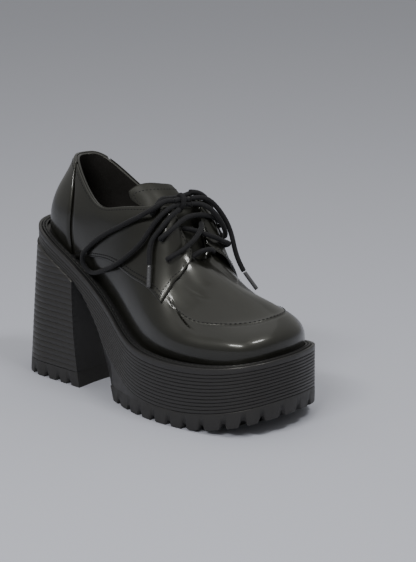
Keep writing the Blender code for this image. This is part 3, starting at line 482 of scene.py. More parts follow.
def braid(along, angle, whole):
    turn = 2 * math.pi * along / BRAID_PITCH / BRAID_STRANDS
    pattern = np.cos(BRAID_STRANDS / 2 * (angle + turn)) * np.cos(BRAID_STRANDS / 2 * (angle - turn))
    return LACE / 2 * (1 - BRAID_DEPTH * (1 - pattern))


def tip(along, angle, whole):
    fade = np.clip(np.minimum(along, whole - along) / AGLET_END, 0, 1)
    return np.full(len(angle), AGLET / 2) * (0.86 + 0.14 * math.sqrt(fade)) * (1 + 0.02 * np.cos(3 * angle))


def strand(name, route):
    line = smooth_route(route, LACE_STEP)
    made = piece(name + "_woven", *tube_mesh(line, braid), name, "lace", [LACE_WEAVE])
    path = [tuple(p) for p in line[::4] + SHIFT] + [tuple(line[-1] + SHIFT)]
    length = travelled(line)[-1]
    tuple(path[0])
    print(name, "length", round(length * 1000), "mm")


def aglet(name, route):
    line = smooth_route(route, AGLET_STEP)
    return piece(name + "_tip", *tube_mesh(line, tip, 20), name, "aglet", [TIP])


TIP_LATERAL = aglet("aglet_lateral", AGLET_LATERAL)
TIP_MEDIAL = aglet("aglet_medial", AGLET_MEDIAL)
strand("bow_loop_lateral", BOW_LOOP_LATERAL)
strand("bow_loop_medial", BOW_LOOP_MEDIAL)
strand("lace_end_lateral", LACE_END_LATERAL)
strand("lace_end_medial", LACE_END_MEDIAL)

# %% [markdown]
# ## The knot and the crossings
# A bow's knot is one strand wrapped round the others. Two short rolls of cord lie side by side and a
# third wraps them from top to bottom, each a braided tube again. The crossings run from the eyelets
# over the throat. The lowest pair crosses and dives under the far facing, as a laced cord does.

# %% Knot and crossings
KNOT_WRAP = [
    (-3.2, -1.4, -4.2), (-0.6, -1.6, -5.2), (2.4, -1.4, -3.6), (3.6, -0.8, -0.4), (3.0, -0.2, 3.0),
    (0.6, 0.2, 4.9), (-2.2, 0.4, 4.0),
]
KNOT_ROLLS = [
    [(0.8, -8.2, 1.8), (0.4, -4.0, 1.9), (0.2, 0.0, 1.8), (0.6, 3.8, 1.4), (1.2, 7.2, 0.6)],
    [(2.2, -8.4, -2.2), (0.9, -4.2, -1.9), (0.4, 0.0, -1.9), (1.4, 4.0, -2.2), (2.6, 7.4, -2.8)],
]
BAR_END_DEPTH = 3.4
LOW_CROSSING = [
    [(162.1, -31.4, 116.2), (165.6, -24.4, 120.0), (167.4, -16.0, 124.2), (166.9, -8.0, 128.2),
     (164.6, -1.0, 131.8), (160.6, 5.0, 134.0), (155.5, 9.5, 134.6)],
    [(162.1, 31.4, 116.2), (165.6, 24.4, 120.0), (167.4, 16.0, 123.8), (165.4, 8.5, 127.4),
     (161.4, 1.0, 130.8), (157.4, -5.0, 133.2), (153.0, -9.5, 133.8)],
    [(166.8, -11.0, 115.0), (169.4, -5.0, 118.2), (170.0, 0.0, 118.8), (169.4, 5.0, 118.2),
     (166.8, 11.0, 115.0)],
]


def joined_tubes(name, node, routes):
    points, faces, lengths = [], [], []
    for route in routes:
        line = smooth_route(route, LACE_STEP)
        tube, tube_faces = tube_mesh(line, braid)
        start = sum(len(p) for p in points)
        faces += [tuple(i + start for i in face) for face in tube_faces]
        points.append(tube)
        lengths.append(round(travelled(line)[-1] * 1000))
    piece(name, np.concatenate(points), faces, node, "lace", [LACE_WEAVE])
    print(name, "strands of", lengths, "mm")


def knot_route(offsets):
    return [tuple(m + o for m, o in zip(KNOT_MIDDLE, offset)) for offset in offsets]


def into_eyelet(route):
    """The route with one more point before its first, pushed in through the side panel."""
    x, y, z = route[0]
    inwards = BAR_END_DEPTH if y < 0 else -BAR_END_DEPTH
    return [(x - 0.45 * BAR_END_DEPTH, y + 0.85 * inwards, z - 0.2 * BAR_END_DEPTH)] + list(route)


def bar(half):
    full = list(half) + [(a, -b, c) for a, b, c in half[-2::-1]]
    return into_eyelet(into_eyelet(full)[::-1])


joined_tubes("bow_knot_wrapped", "bow_knot", [knot_route(r) for r in [KNOT_WRAP] + KNOT_ROLLS])
crossed = [into_eyelet(route) for route in LOW_CROSSING[:2]]
joined_tubes("lace_bar_1_woven", "lace_bar_1", crossed + LOW_CROSSING[2:])
for number, half in BARS.items():
    joined_tubes("lace_bar_%d_woven" % number, "lace_bar_%d" % number, [bar(half)])

# %% [markdown]
# ## The sole's sizes
# The sole is a platform under the forefoot that thins out into a shank layer over the heel. Its rim is
# the driving line: the ribs, the ledge, the welt and the foot of the upper all follow it at set
# distances, so the tables below are shares of a few named sizes.

# %% Sole sizes and tables
RIM_LENGTH = 0.253
RIM_WIDTH = 0.1046
BACK_HEIGHT = 0.1227
PLATFORM_HEIGHT = 0.0473
TOE_RISE = 0.0083
TOE_SPRING = 0.013
LEDGE_HEEL = 0.0116
LEDGE_WAIST = 0.0099
LEDGE_TOE = 0.0078
SHANK_DEPTH = 0.0131
SMOOTH_BAND = 0.0050
RIB_PITCH = 0.0027
RIB_DEPTH = 0.0007
RIB_COUNT = 12
LIP_WIDTH = 0.0026
LIP_DEPTH = 0.0016
HEEL_SEAT_LENGTH = 0.0605
HEEL_FLOOR_BACK = 0.008
HEEL_FLOOR_WIDTH = 0.0772
BREAST_FLARE = 0.0085
BREAST_HOLLOW = 0.0040
HEEL_ROUND_END = 0.030
BREAST_RETURN = 0.0029
HEEL_RIB_PITCH = 0.0044
TREAD_HEIGHT = 0.0115
LUG_HEIGHT = 0.0045
LUG_GROOVE = 0.0066
LUG_GROOVE_TOP = 0.0028
LUG_REACH = 0.0150
GROOVE_OVERRUN = 0.0024
CUTTER_OVERRUN = 0.030
WELT_THICKNESS = 0.0024
WELT_WIDTH = 0.0036
INSOLE_THICKNESS = 0.0032
WALL = 0.0018
GAP = 0.0003
SHANK_STEPS = 40
# A tread's side: how far each ring stands in, and its height; the last one closes the gap above it
TREAD_RISES = ((0.0007, 0.0), (0.0002, 0.0003), (0.0, 0.0009), (0.0, TREAD_HEIGHT + 0.9 * GAP))

# Rim in plan: phase, outer half width and inner half width as shares of RIM_WIDTH
RIM_PLAN = [
    (12, 0.135, 0.122),
    (25, 0.250, 0.240),
    (45, 0.328, 0.324),
    (65, 0.336, 0.322),
    (80, 0.382, 0.324),
    (95, 0.478, 0.388),
    (110, 0.512, 0.470),
    (125, 0.490, 0.509),
    (140, 0.439, 0.487),
    (150, 0.386, 0.424),
    (158, 0.322, 0.338),
    (168, 0.203, 0.180),
]

# Rim from the side: along as a share of RIM_LENGTH, then the shares of the heel's rise and of TOE_RISE
RIM_SIDE = [
    (0.000, 1.000, 0.00),
    (0.119, 0.853, 0.00),
    (0.257, 0.611, 0.00),
    (0.395, 0.329, 0.00),
    (0.514, 0.097, 0.00),
    (0.632, 0.011, 0.00),
    (0.751, 0.000, 0.00),
    (0.889, 0.000, 0.35),
    (1.000, 0.000, 1.00),
]

# Where the tread stops being flat and starts to lift, as a share of RIM_LENGTH
SPRING_START = 0.711

# Arch behind the platform: along as a share of RIM_LENGTH, height as a share of the shank's underside
ARCH = [
    (0.2391, 1.000),
    (0.2850, 0.878),
    (0.3270, 0.722),
    (0.3640, 0.567),
    (0.3960, 0.373),
    (0.4190, 0.232),
    (0.4380, 0.066),
    (0.4427, 0.000),
]

# Notches in the treads: phase of each groove on the forepart and along share on the heel's side
FOREPART_GROOVES = (87.9, 94.8, 101.4, 108.3, 115.9, 123.6, 132.0, 143.4, 154.6, 165.0, 175.0)
HEEL_GROOVES = (0.22, 0.435, 0.635, 0.82)
print("rim", RIM_LENGTH, "x", RIM_WIDTH, "m, lugs a side:", len(FOREPART_GROOVES), "and", len(HEEL_GROOVES))

# %% Outline and heights
FINE_COLUMNS = 110


def rim_across():
    phases = np.concatenate([[0.0], column(RIM_PLAN, 0), [180.0], 360.0 - column(RIM_PLAN, 0)[::-1]])
    outer = -column(RIM_PLAN, 1) * RIM_WIDTH
    inner = column(RIM_PLAN, 2)[::-1] * RIM_WIDTH
    return closed_curve(phases, np.concatenate([[0.0], outer, [0.0], inner]))


across_at = rim_across()
heel_rise = column(RIM_SIDE, 1) * (BACK_HEIGHT - PLATFORM_HEIGHT)
toe_rise = column(RIM_SIDE, 2) * TOE_RISE
rim_line = open_curve(column(RIM_SIDE, 0) * RIM_LENGTH, PLATFORM_HEIGHT + heel_rise + toe_rise)


def rim_along(phase):
    return RIM_LENGTH * (1 - np.cos(np.radians(phase))) / 2


def inset_outline(phase, inset):
    """The rim's outline moved inwards along its own normal."""
    phase = np.asarray(phase, float)
    small = 0.05
    run = rim_along(phase + small) - rim_along(phase - small)
    rise = across_at(phase + small) - across_at(phase - small)
    length = np.hypot(run, rise)
    return rim_along(phase) - rise / length * inset, across_at(phase) + run / length * inset


def loop_phases(side=FINE_COLUMNS):
    half = np.linspace(0, 180, side + 1)
    return np.concatenate([half, 360.0 - half[-2:0:-1]])


def phase_at(along):
    """Phase on the outer side where the rim passes a given distance along."""
    return math.degrees(math.acos(1 - 2 * along / RIM_LENGTH))


def floor_height(along):
    """The recessed top of the platform, which carries welt, upper and insole."""
    return rim_line(along) - LIP_DEPTH


def spring_height(along):
    start = SPRING_START * RIM_LENGTH
    lift = np.clip((np.asarray(along) - start) / (RIM_LENGTH - start), 0, None)
    return TOE_SPRING * lift ** 2


def blend(value, low, high):
    share = np.clip((value - low) / (high - low), 0, 1)
    return share * share * (3 - 2 * share)


def ledge(phase):
    """How far the upper stands inside the rim: wide at heel and waist, narrow at the toe."""
    turn = 180 - np.abs(180 - np.mod(phase, 360.0))
    heel_to_waist = LEDGE_HEEL + (LEDGE_WAIST - LEDGE_HEEL) * blend(turn, 45, 68)
    return heel_to_waist + (LEDGE_TOE - LEDGE_WAIST) * blend(turn, 90, 150)


print("rim heights, heel to toe:", [round(float(rim_line(x * RIM_LENGTH)), 4) for x in (0, 0.5, 1)])

# %% [markdown]
# ## Platform
# The moulding's side is a stack of rings parallel to the rim. On the real sole the ribs are rounded
# ridges with sharp valleys, so each rib gets four rings. One long cut, drawn from the side, shapes the
# arch and the shank's underside, because they pass straight through from side to side.

# %% Platform
def platform_loop(inset, height):
    phases = loop_phases()
    along, across = inset_outline(phases, inset)
    return np.stack([along, across, height(along)], 1)


def underside():
    """Side view of the sole's underside: along the shank layer and down the arch to the floor."""
    shank = np.linspace(-CUTTER_OVERRUN, HEEL_SEAT_LENGTH * 0.94, SHANK_STEPS)
    behind = [(x, float(rim_line(x)) - SHANK_DEPTH) for x in shank]
    arch_top = float(rim_line(HEEL_SEAT_LENGTH)) - SHANK_DEPTH
    arch = open_curve(column(ARCH, 0) * RIM_LENGTH, column(ARCH, 1) * arch_top)
    stops = np.linspace(ARCH[0][0], ARCH[-1][0], 60) * RIM_LENGTH
    return behind + [(x, float(arch(x))) for x in stops]


def below_underside():
    line = underside()
    end = line[-1][0]
    return line + [(end, -CUTTER_OVERRUN), (line[0][0], -CUTTER_OVERRUN)]


def rib_rows():
    """Depths below the rim and insets of the platform's side: smooth band, then rounded ribs."""
    rows = [(SMOOTH_BAND - RIB_PITCH * 0.30, 0.0), (SMOOTH_BAND - RIB_PITCH * 0.12, RIB_DEPTH * 0.25)]
    for k in range(RIB_COUNT):
        groove = SMOOTH_BAND + k * RIB_PITCH
        rows.append((groove, RIB_DEPTH))
        rows.append((groove + RIB_PITCH * 0.14, RIB_DEPTH * 0.22))
        rows.append((groove + RIB_PITCH * 0.34, 0.0))
        rows.append((groove + RIB_PITCH * 0.70, 0.0))
        rows.append((groove + RIB_PITCH * 0.88, RIB_DEPTH * 0.25))
    return rows[:-3]


def platform():
    def side(depth):
        nominal = PLATFORM_HEIGHT - TREAD_HEIGHT
        flat = SPRING_START * RIM_LENGTH

        def height(along):
            room = rim_line(along) - TREAD_HEIGHT - spring_height(along)
            squeeze = np.where(along > flat, room / nominal, 1.0)
            return rim_line(along) - depth * squeeze
        return height

    def bottom(along):
        return TREAD_HEIGHT + GAP + spring_height(along)

    rings = [platform_loop(0.0, bottom)]
    rings += [platform_loop(inset, side(depth)) for depth, inset in reversed(rib_rows())]
    for depth, inset in ((0.0011, 0.0), (0.0005, 0.0001), (0.00012, 0.0004)):
        rings.append(platform_loop(inset, side(depth)))
    rings.append(platform_loop(0.0009, rim_line))
    rings.append(platform_loop(LIP_WIDTH - 0.0004, rim_line))
    rings.append(platform_loop(LIP_WIDTH, side(0.0004)))
    rings.append(platform_loop(LIP_WIDTH, floor_height))
    loops = stacked_loops(rings)
    made = piece("platform_moulding", *loops, "platform", "sole_rubber", [SOLE_RUBBER], sharp=35)
    take_away(made, *cutter(below_underside(), RIM_WIDTH))
    print("platform faces:", len(made.data.polygons))


platform()

# %% [markdown]
# ## Heel block
# The heel stands square at the back, flares towards the floor and has a plain, hollowed breast. Its
# rings blend from the rim's own curve at the top to a squared outline at the floor. The ribs are level
# here, and not parallel to the rim, as on the real moulding.

# %% Heel block
HEEL_COLUMNS = 60
BREAST_COLUMNS = 20
ROUND_SHARE = 0.72  # of the heel's side, from its back to where it runs straight
SQUARENESS = 2.7
BREAST_CURVE = 2.2


def breast_along(height):
    top = float(rim_line(HEEL_SEAT_LENGTH)) - SHANK_DEPTH
    fall = np.clip(1 - height / top, 0, 1)
    return HEEL_SEAT_LENGTH + BREAST_FLARE * fall ** BREAST_CURVE


def heel_side(share):
    """The heel's outline at the floor: a squared round at the back, then straight to the breast."""
    turn = np.clip(share / ROUND_SHARE, 0, 1) * math.pi / 2
    power = 2 / SQUARENESS
    along = HEEL_ROUND_END - (HEEL_ROUND_END + HEEL_FLOOR_BACK) * np.cos(turn) ** power
    straight = np.clip((share - ROUND_SHARE) / (1 - ROUND_SHARE), 0, 1)
    along = along + straight * (HEEL_SEAT_LENGTH + BREAST_FLARE - HEEL_ROUND_END)
    return along, HEEL_FLOOR_WIDTH / 2 * np.sin(turn) ** power


def heel_loop(height, inset):
    """One level loop of the heel, between the rim's plan at the top and the flared foot."""
    shares = np.linspace(0, 1, HEEL_COLUMNS)
    phases = shares * phase_at(HEEL_SEAT_LENGTH)
    flare = 1 - height / BACK_HEIGHT
    floor_along, floor_across = heel_side(shares)
    sides = []
    for turn, sign in ((phases, -1), (360 - phases, 1)):
        along, across = inset_outline(turn, 0.0)
        along = along + (floor_along - along) * flare
        across = across + (sign * floor_across - across) * flare
        along = along + (breast_along(height) - along[-1]) * shares ** 3
        sides.append(np.stack([along, across], 1))
    outer, inner = sides
    middle = outer[:1] * [1, 0]
    share = np.linspace(-1, 1, BREAST_COLUMNS + 2)[1:-1]
    front = np.stack([breast_along(height) - BREAST_HOLLOW * (1 - share ** 2),
                      outer[-1, 1] + (inner[-1, 1] - outer[-1, 1]) * (share + 1) / 2], 1)
    loop = np.concatenate([middle, outer[1:], front, inner[:0:-1]])
    centre = np.array([HEEL_SEAT_LENGTH / 2, 0.0])
    away = loop - centre
    away /= np.linalg.norm(away, axis=1)[:, None]
    ribbed = np.ones(len(loop))
    ribbed[len(outer):len(outer) + len(front)] = 0.0
    loop = loop - away * inset * ribbed[:, None]
    return np.column_stack([loop, np.full(len(loop), height)])


def heel_block():
    levels = [(TREAD_HEIGHT + GAP, 0.0006), (TREAD_HEIGHT + GAP + 0.0005, 0.0)]
    height = TREAD_HEIGHT + GAP + HEEL_RIB_PITCH * 0.9
    while height < BACK_HEIGHT - SHANK_DEPTH + HEEL_RIB_PITCH:
        for share, inset in ((-0.42, 0.0), (-0.14, 0.2), (0.0, 1.0), (0.14, 0.2), (0.30, 0.0)):
            levels.append((height + share * HEEL_RIB_PITCH, inset * RIB_DEPTH))
        height += HEEL_RIB_PITCH
    loops = capped_loops([heel_loop(height, inset) for height, inset in levels])
    made = piece("heel_moulding", *loops, "heel_block", "sole_rubber", [SOLE_RUBBER], sharp=35)
    line = [(x, z - GAP) for x, z in underside()[:SHANK_STEPS]]
    end, high = line[-1][0] + CUTTER_OVERRUN, BACK_HEIGHT + CUTTER_OVERRUN
    slope = (line[-1][1] - line[-2][1]) / (line[-1][0] - line[-2][0])
    line.append((end, line[-1][1] + slope * CUTTER_OVERRUN))
    take_away(made, *cutter(line + [(end, high), (line[0][0], high)], RIM_WIDTH))
    print("heel faces:", len(made.data.polygons))


heel_block()

# %% [markdown]
# ## Treads
# The bottom layers are cut by wedge grooves all round the edge, wide at the floor and narrow above, which
# leave the row of lugs that shows in the picture. Each groove is one small prism that points inwards
# along the outline's own normal.

# %% Treads
def groove_prisms(places, height_at):
    """Wedge grooves for a tread: each place is a point on the edge and the direction inwards."""
    points, faces = [], []
    top = LUG_GROOVE_TOP / 2
    bottom = LUG_GROOVE / 2 + (LUG_GROOVE - LUG_GROOVE_TOP) / 2 * GROOVE_OVERRUN / LUG_HEIGHT
    corners = ((-bottom, -GROOVE_OVERRUN), (-top, LUG_HEIGHT), (top, LUG_HEIGHT), (bottom, -GROOVE_OVERRUN))
    for (x, y), (dx, dy) in places:
        base = len(points)
        base_height = float(height_at(x))
        for reach in (-GROOVE_OVERRUN, LUG_REACH):
            for side, rise in corners:
                px = x + dx * reach - dy * side
                py = y + dy * reach + dx * side
                points.append((px, py, base_height + rise))
        faces.append((base, base + 1, base + 2, base + 3))
        faces.append((base + 4, base + 5, base + 6, base + 7))
        for i in range(4):
            j = (i + 1) % 4
            faces.append((base + i, base + j, base + 4 + j, base + 4 + i))
    return points, faces


def forepart_tread():
    phases = np.linspace(phase_at(ARCH[-1][0] * RIM_LENGTH), 180, 90)
    loop = np.concatenate([phases, 360 - phases[-2::-1]])
    rings = []
    for inset, rise in TREAD_RISES:
        along, across = inset_outline(loop, inset)
        along[[0, -1]] -= BREAST_RETURN * rise / TREAD_HEIGHT
        rings.append(np.stack([along, across, spring_height(along) + rise], 1))
    columns = len(loop)
    faces = loop_faces(len(rings), columns)
    for offset in (0, (len(rings) - 1) * columns):
        for i in range(columns // 2):
            corners = [offset + i, offset + i + 1, offset + columns - i - 2, offset + columns - i - 1]
            faces.append(tuple(dict.fromkeys(corners)))
    places = []
    for turn in FOREPART_GROOVES:
        for phase in (turn, 360 - turn):
            edge, inside = inset_outline(phase, 0.0), inset_outline(phase, LUG_REACH)
            places.append((edge, [(b - a) / LUG_REACH for a, b in zip(edge, inside)]))
    grooved("forepart", np.concatenate(rings), faces, places, spring_height)


def heel_tread():
    places = []
    for share in HEEL_GROOVES:
        for sign in (-1, 1):
            edge = (share * (HEEL_SEAT_LENGTH + BREAST_FLARE), sign * HEEL_FLOOR_WIDTH / 2)
            places.append((edge, (0.0, -sign)))
    for across in (-0.5, 0.0, 0.5):
        places.append(((-HEEL_FLOOR_BACK, across * HEEL_FLOOR_WIDTH / 2), (1.0, 0.0)))
    rings = [heel_loop(rise, inset) for inset, rise in TREAD_RISES]
    grooved("heel", *capped_loops(rings), places, lambda x: 0.0)


def grooved(which, points, faces, places, height_at):
    made = piece(which + "_lugs", points, faces, which + "_tread", "tread_rubber", [TREAD_RUBBER], sharp=30)
    take_away(made, *groove_prisms(places, height_at))
    print(which, "grooves:", len(places))


forepart_tread()
heel_tread()

# %% [markdown]
# ## Stitches
# A stitch is a short capsule of thread that dips into the leather at both ends. One function lays a row
# of them along any line, and joins the row into one piece. Real thread matters here: on a glossy black
# shoe each stitch reads as a small dash, which a texture would blur.

# %% Stitch rows
STITCH_SIDES = 6
# Threads: pitch, thickness and the share of the pitch that shows
WELT_THREAD = (0.0048, 0.0009, 0.72)
APRON_THREAD = (0.0034, 0.0007, 0.60)
HEAVY_THREAD = (0.0026, 0.0009, 0.66)
FINE_THREAD = (0.0028, 0.0006, 0.66)
ABOVE_LEATHER = 0.0001
# One stitch: share of its length, share of its thickness, lift in thicknesses
STITCH_PROFILE = ((0.0, 0.35, -0.55), (0.14, 0.9, -0.05), (0.5, 1.0, 0.12), (0.86, 0.9, -0.05),
                  (1.0, 0.35, -0.55))


def read_along(line, lengths, at):
    return np.array([np.interp(at, lengths, line[:, i]) for i in range(3)])


def stitch_row(name, line, outward, thread, slot="upper_leather"):
    """Short capsules of thread along a line; outward is the surface normal at each of its points."""
    pitch, thick, share = thread
    lengths = travelled(line)
    count = max(1, int(lengths[-1] / pitch))
    points, faces = [], []
    angle = np.linspace(0, 2 * math.pi, STITCH_SIDES, endpoint=False)
    for k in range(count):
        start = (k + 0.5 - share / 2) * lengths[-1] / count
        span = share * lengths[-1] / count
        base = len(points) * STITCH_SIDES
        head, tail = read_along(line, lengths, start), read_along(line, lengths, start + span)
        ahead = tail - head
        ahead /= np.linalg.norm(ahead)
        up = read_along(outward, lengths, start + span / 2)
        up -= ahead * up.dot(ahead)
        up /= np.linalg.norm(up)
        around = np.cos(angle)[:, None] * np.cross(ahead, up) + np.sin(angle)[:, None] * up
        for t, size, lift in STITCH_PROFILE:
            centre = head + (tail - head) * t + up * lift * thick
            points.append(centre + thick / 2 * size * around)
        faces += loop_faces(len(STITCH_PROFILE), STITCH_SIDES, base)
        for end in (base, base + (len(STITCH_PROFILE) - 1) * STITCH_SIDES):
            faces.append(tuple(end + i for i in range(STITCH_SIDES)))
    piece(name, np.concatenate(points), faces, None, slot, [THREAD])
    print(name, count)


print("faces on one stitch:", len(STITCH_PROFILE) * STITCH_SIDES - STITCH_SIDES + 2)

# %% [markdown]
# ## Welt and insole
# The welt is a flat strip in the ledge, grooved along its middle, where the dashes of the sole stitch
# lie. The insole closes the inside. Both follow the rim's outline at a set inset.

# %% Welt and insole
# Welt across: share of its width, share of its thickness
WELT_ROWS = ((0.0, 0.0), (0.0, 0.80), (0.06, 1.0), (0.34, 1.0), (0.42, 0.78), (0.58, 0.78), (0.66, 1.0),
             (1.0, 1.06), (1.0, 0.0))
WELT_STITCH_ROW = (0.5, 0.86)


def welt_loop(share, rise):
    ring = platform_loop(LIP_WIDTH + 2 * GAP + WELT_WIDTH * share, floor_height)
    return ring + [0, 0, GAP + (WELT_THICKNESS - GAP) * rise]


def welt():
    points, faces = ring_of_loops([welt_loop(*row) for row in WELT_ROWS])
    piece("welt_strip", points, faces, "welt", "welt", [WELT_RUBBER], sharp=35)
    line = welt_loop(*WELT_STITCH_ROW)
    line = np.concatenate([line, line[:1]])
    outward = np.tile([0.0, 0.0, 1.0], (len(line), 1))
    stitch_row("welt_stitches", line, outward, WELT_THREAD, slot="welt")


def insole():
    phases = loop_phases()
    rings = []
    for rise, more in ((0.0, 0.0), (INSOLE_THICKNESS - 0.0006, 0.0), (INSOLE_THICKNESS, 0.0006)):
        along, across = inset_outline(phases, ledge(phases) + WALL + 3 * GAP + more)
        rings.append(np.stack([along, across, floor_height(along) + GAP + rise], 1))
    piece("insole_board", *stacked_loops(rings), "insole", "lining", [LINING])


welt()
insole()

# %% [markdown]
# ## The upper's shape
# A lasted upper is a tube pulled over a foot form. Its surface is written with two coordinates: the phase
# round the shoe, and a level from the feather line (0) up over the apron seam (2) to the mouth (4). Each
# level is a closed spline through a short table, and each column joins the levels with another spline.

# %% Upper tables
INSTEP_HEIGHT = 0.100
QUARTER_THICKNESS = 0.0011
COUNTER_THICKNESS = 0.0019
FLAP_LIFT = 0.0032
TONGUE_THICKNESS = 0.0022
TONGUE_CORNER = 0.05
TONGUE_CORNER_POWER = 8
SKIN_GAP = 0.0005
QUARTER_GAP = 0.0008
SEAM_MARGIN = 2.5  # degrees between the heel panel and a side panel, the dark line of that seam

# Upper, levels 1 to 3, on each phase: the widest line of the wall, then the apron seam (at the toe) or the
# wall's shoulder, then the crown over the instep. For each its place along, across and above the rim, as
# shares of RIM_LENGTH, RIM_WIDTH and INSTEP_HEIGHT.
WALL_LEVELS = [
    (0, 0.060, 0.000, 0.175,  0.087, 0.000, 0.310,  0.120, 0.000, 0.440),
    (25, 0.087, -0.171, 0.165,  0.114, -0.163, 0.312,  0.150, -0.142, 0.443),
    (45, 0.168, -0.250, 0.160,  0.198, -0.254, 0.290,  0.230, -0.232, 0.405),
    (65, 0.309, -0.278, 0.165,  0.336, -0.291, 0.320,  0.358, -0.280, 0.450),
    (80, 0.435, -0.326, 0.225,  0.462, -0.318, 0.440,  0.480, -0.283, 0.640),
    (95, 0.561, -0.408, 0.245,  0.577, -0.354, 0.500,  0.594, -0.262, 0.755),
    (110, 0.670, -0.459, 0.185,  0.660, -0.354, 0.408,  0.644, -0.236, 0.605),
    (125, 0.775, -0.445, 0.145,  0.741, -0.340, 0.300,  0.692, -0.215, 0.487),
    (140, 0.866, -0.383, 0.130,  0.812, -0.288, 0.262,  0.743, -0.170, 0.415),
    (155, 0.931, -0.306, 0.121,  0.868, -0.200, 0.244,  0.779, -0.106, 0.392),
    (168, 0.966, -0.167, 0.125,  0.903, -0.080, 0.240,  0.795, -0.048, 0.388),
    (180, 0.976, 0.000, 0.128,  0.914, 0.040, 0.247,  0.802, 0.010, 0.388),
    (192, 0.966, 0.167, 0.125,  0.909, 0.150, 0.253,  0.798, 0.070, 0.386),
    (205, 0.932, 0.313, 0.121,  0.885, 0.245, 0.260,  0.783, 0.128, 0.390),
    (220, 0.866, 0.435, 0.130,  0.830, 0.320, 0.270,  0.749, 0.185, 0.415),
    (235, 0.775, 0.455, 0.145,  0.752, 0.352, 0.300,  0.696, 0.224, 0.487),
    (250, 0.670, 0.424, 0.185,  0.664, 0.350, 0.408,  0.646, 0.240, 0.605),
    (265, 0.561, 0.348, 0.245,  0.577, 0.325, 0.500,  0.594, 0.255, 0.755),
    (280, 0.435, 0.280, 0.225,  0.462, 0.296, 0.440,  0.480, 0.272, 0.640),
    (295, 0.309, 0.264, 0.165,  0.336, 0.282, 0.320,  0.358, 0.272, 0.450),
    (315, 0.168, 0.246, 0.160,  0.198, 0.250, 0.290,  0.230, 0.230, 0.405),
    (335, 0.087, 0.163, 0.165,  0.114, 0.156, 0.312,  0.150, 0.138, 0.443),
]

# Upper, level 4: the edge of the mouth, collar and then throat, alike on both sides
MOUTH = [
    (0, 0.150, 0.000, 0.567),
    (12, 0.162, 0.077, 0.573),
    (25, 0.186, 0.134, 0.563),
    (45, 0.255, 0.212, 0.505),
    (57, 0.308, 0.247, 0.509),
    (68, 0.364, 0.260, 0.594),
    (80, 0.455, 0.245, 0.800),
    (90, 0.541, 0.196, 0.952),
    (97, 0.587, 0.143, 0.985),
    (104, 0.601, 0.108, 0.903),
    (113, 0.617, 0.094, 0.826),
    (125, 0.634, 0.081, 0.730),
    (140, 0.644, 0.065, 0.655),
    (158, 0.647, 0.038, 0.600),
    (180, 0.648, 0.000, 0.570),
]

# Heel panel's front seam on the outer side: level and phase, mirrored on the inner side
COUNTER_SEAM = [
    (0.00, 52.5),
    (1.00, 51.0),
    (1.75, 48.6),
    (2.95, 40.4),
    (4.00, 27.0),
]

# Side panel's lower seam: phase and level, from the heel panel to the tab's corner
QUARTER_SEAM = [
    (53.8, 0.00),
    (59.0, 0.55),
    (65.0, 1.02),
    (71.3, 1.40),
    (77.0, 1.56),
    (85.7, 1.66),
    (96.0, 1.78),
    (107.5, 1.76),
]

# Side panel's front edge from the tab's corner up past the notch to the throat: phase, level, flap lift
QUARTER_FRONT = [
    (107.5, 1.76, 0.00),
    (109.0, 2.08, 0.00),
    (110.2, 2.34, 0.05),
    (111.6, 2.62, 0.15),
    (116.6, 3.06, 0.55),
    (121.8, 3.38, 0.95),
    (126.2, 3.68, 0.85),
    (126.5, 4.00, 0.30),
]

# Tongue under the side panels: phase and level of its edge and of its shoulder, depth, middle's bulge
TONGUE_SEAT = [
    (151, 3.62, 165, 3.84, 0.0066, 0.0000),
    (141, 3.62, 152, 3.88, 0.0038, 0.0000),
    (129, 3.60, 135, 3.93, 0.0022, 0.0010),
    (117, 3.58, 119, 3.96, 0.0012, 0.0022),
    (106, 3.54, 108, 3.97, 0.0018, 0.0034),
    (98, 3.60, 101, 3.98, 0.0020, 0.0050),
]

# Tongue above the collar, as shares of RIM_LENGTH, RIM_WIDTH and BACK_HEIGHT: edge, shoulder and middle.
# The last share is how far its outer edge leans up and its inner edge down.
TONGUE_TOP = [
    (0.470, 0.214, 1.212, 0.535, 0.122, 1.224, 0.548, 1.232, 0.010),
    (0.450, 0.224, 1.243, 0.505, 0.126, 1.275, 0.520, 1.282, 0.024),
    (0.444, 0.222, 1.268, 0.478, 0.130, 1.318, 0.492, 1.326, 0.037),
]

print("phases in the wall's table:", len(WALL_LEVELS), "and round half the mouth:", len(MOUTH))

# %% Upper surface
def loop_table(rows):
    sizes = (RIM_LENGTH, RIM_WIDTH, INSTEP_HEIGHT)
    return [closed_curve(column(rows, 0), column(rows, i + 1) * size) for i, size in enumerate(sizes)]


def mouth_rows():
    outer = [(phase, along, -across, height) for phase, along, across, height in MOUTH]
    inner = [(360 - phase, along, across, height) for phase, along, across, height in MOUTH[-2:0:-1]]
    return outer + inner


LEVELS = [loop_table([(row[0], *row[at:at + 3]) for row in WALL_LEVELS]) for at in (1, 4, 7)]
LEVELS.append(loop_table(mouth_rows()))


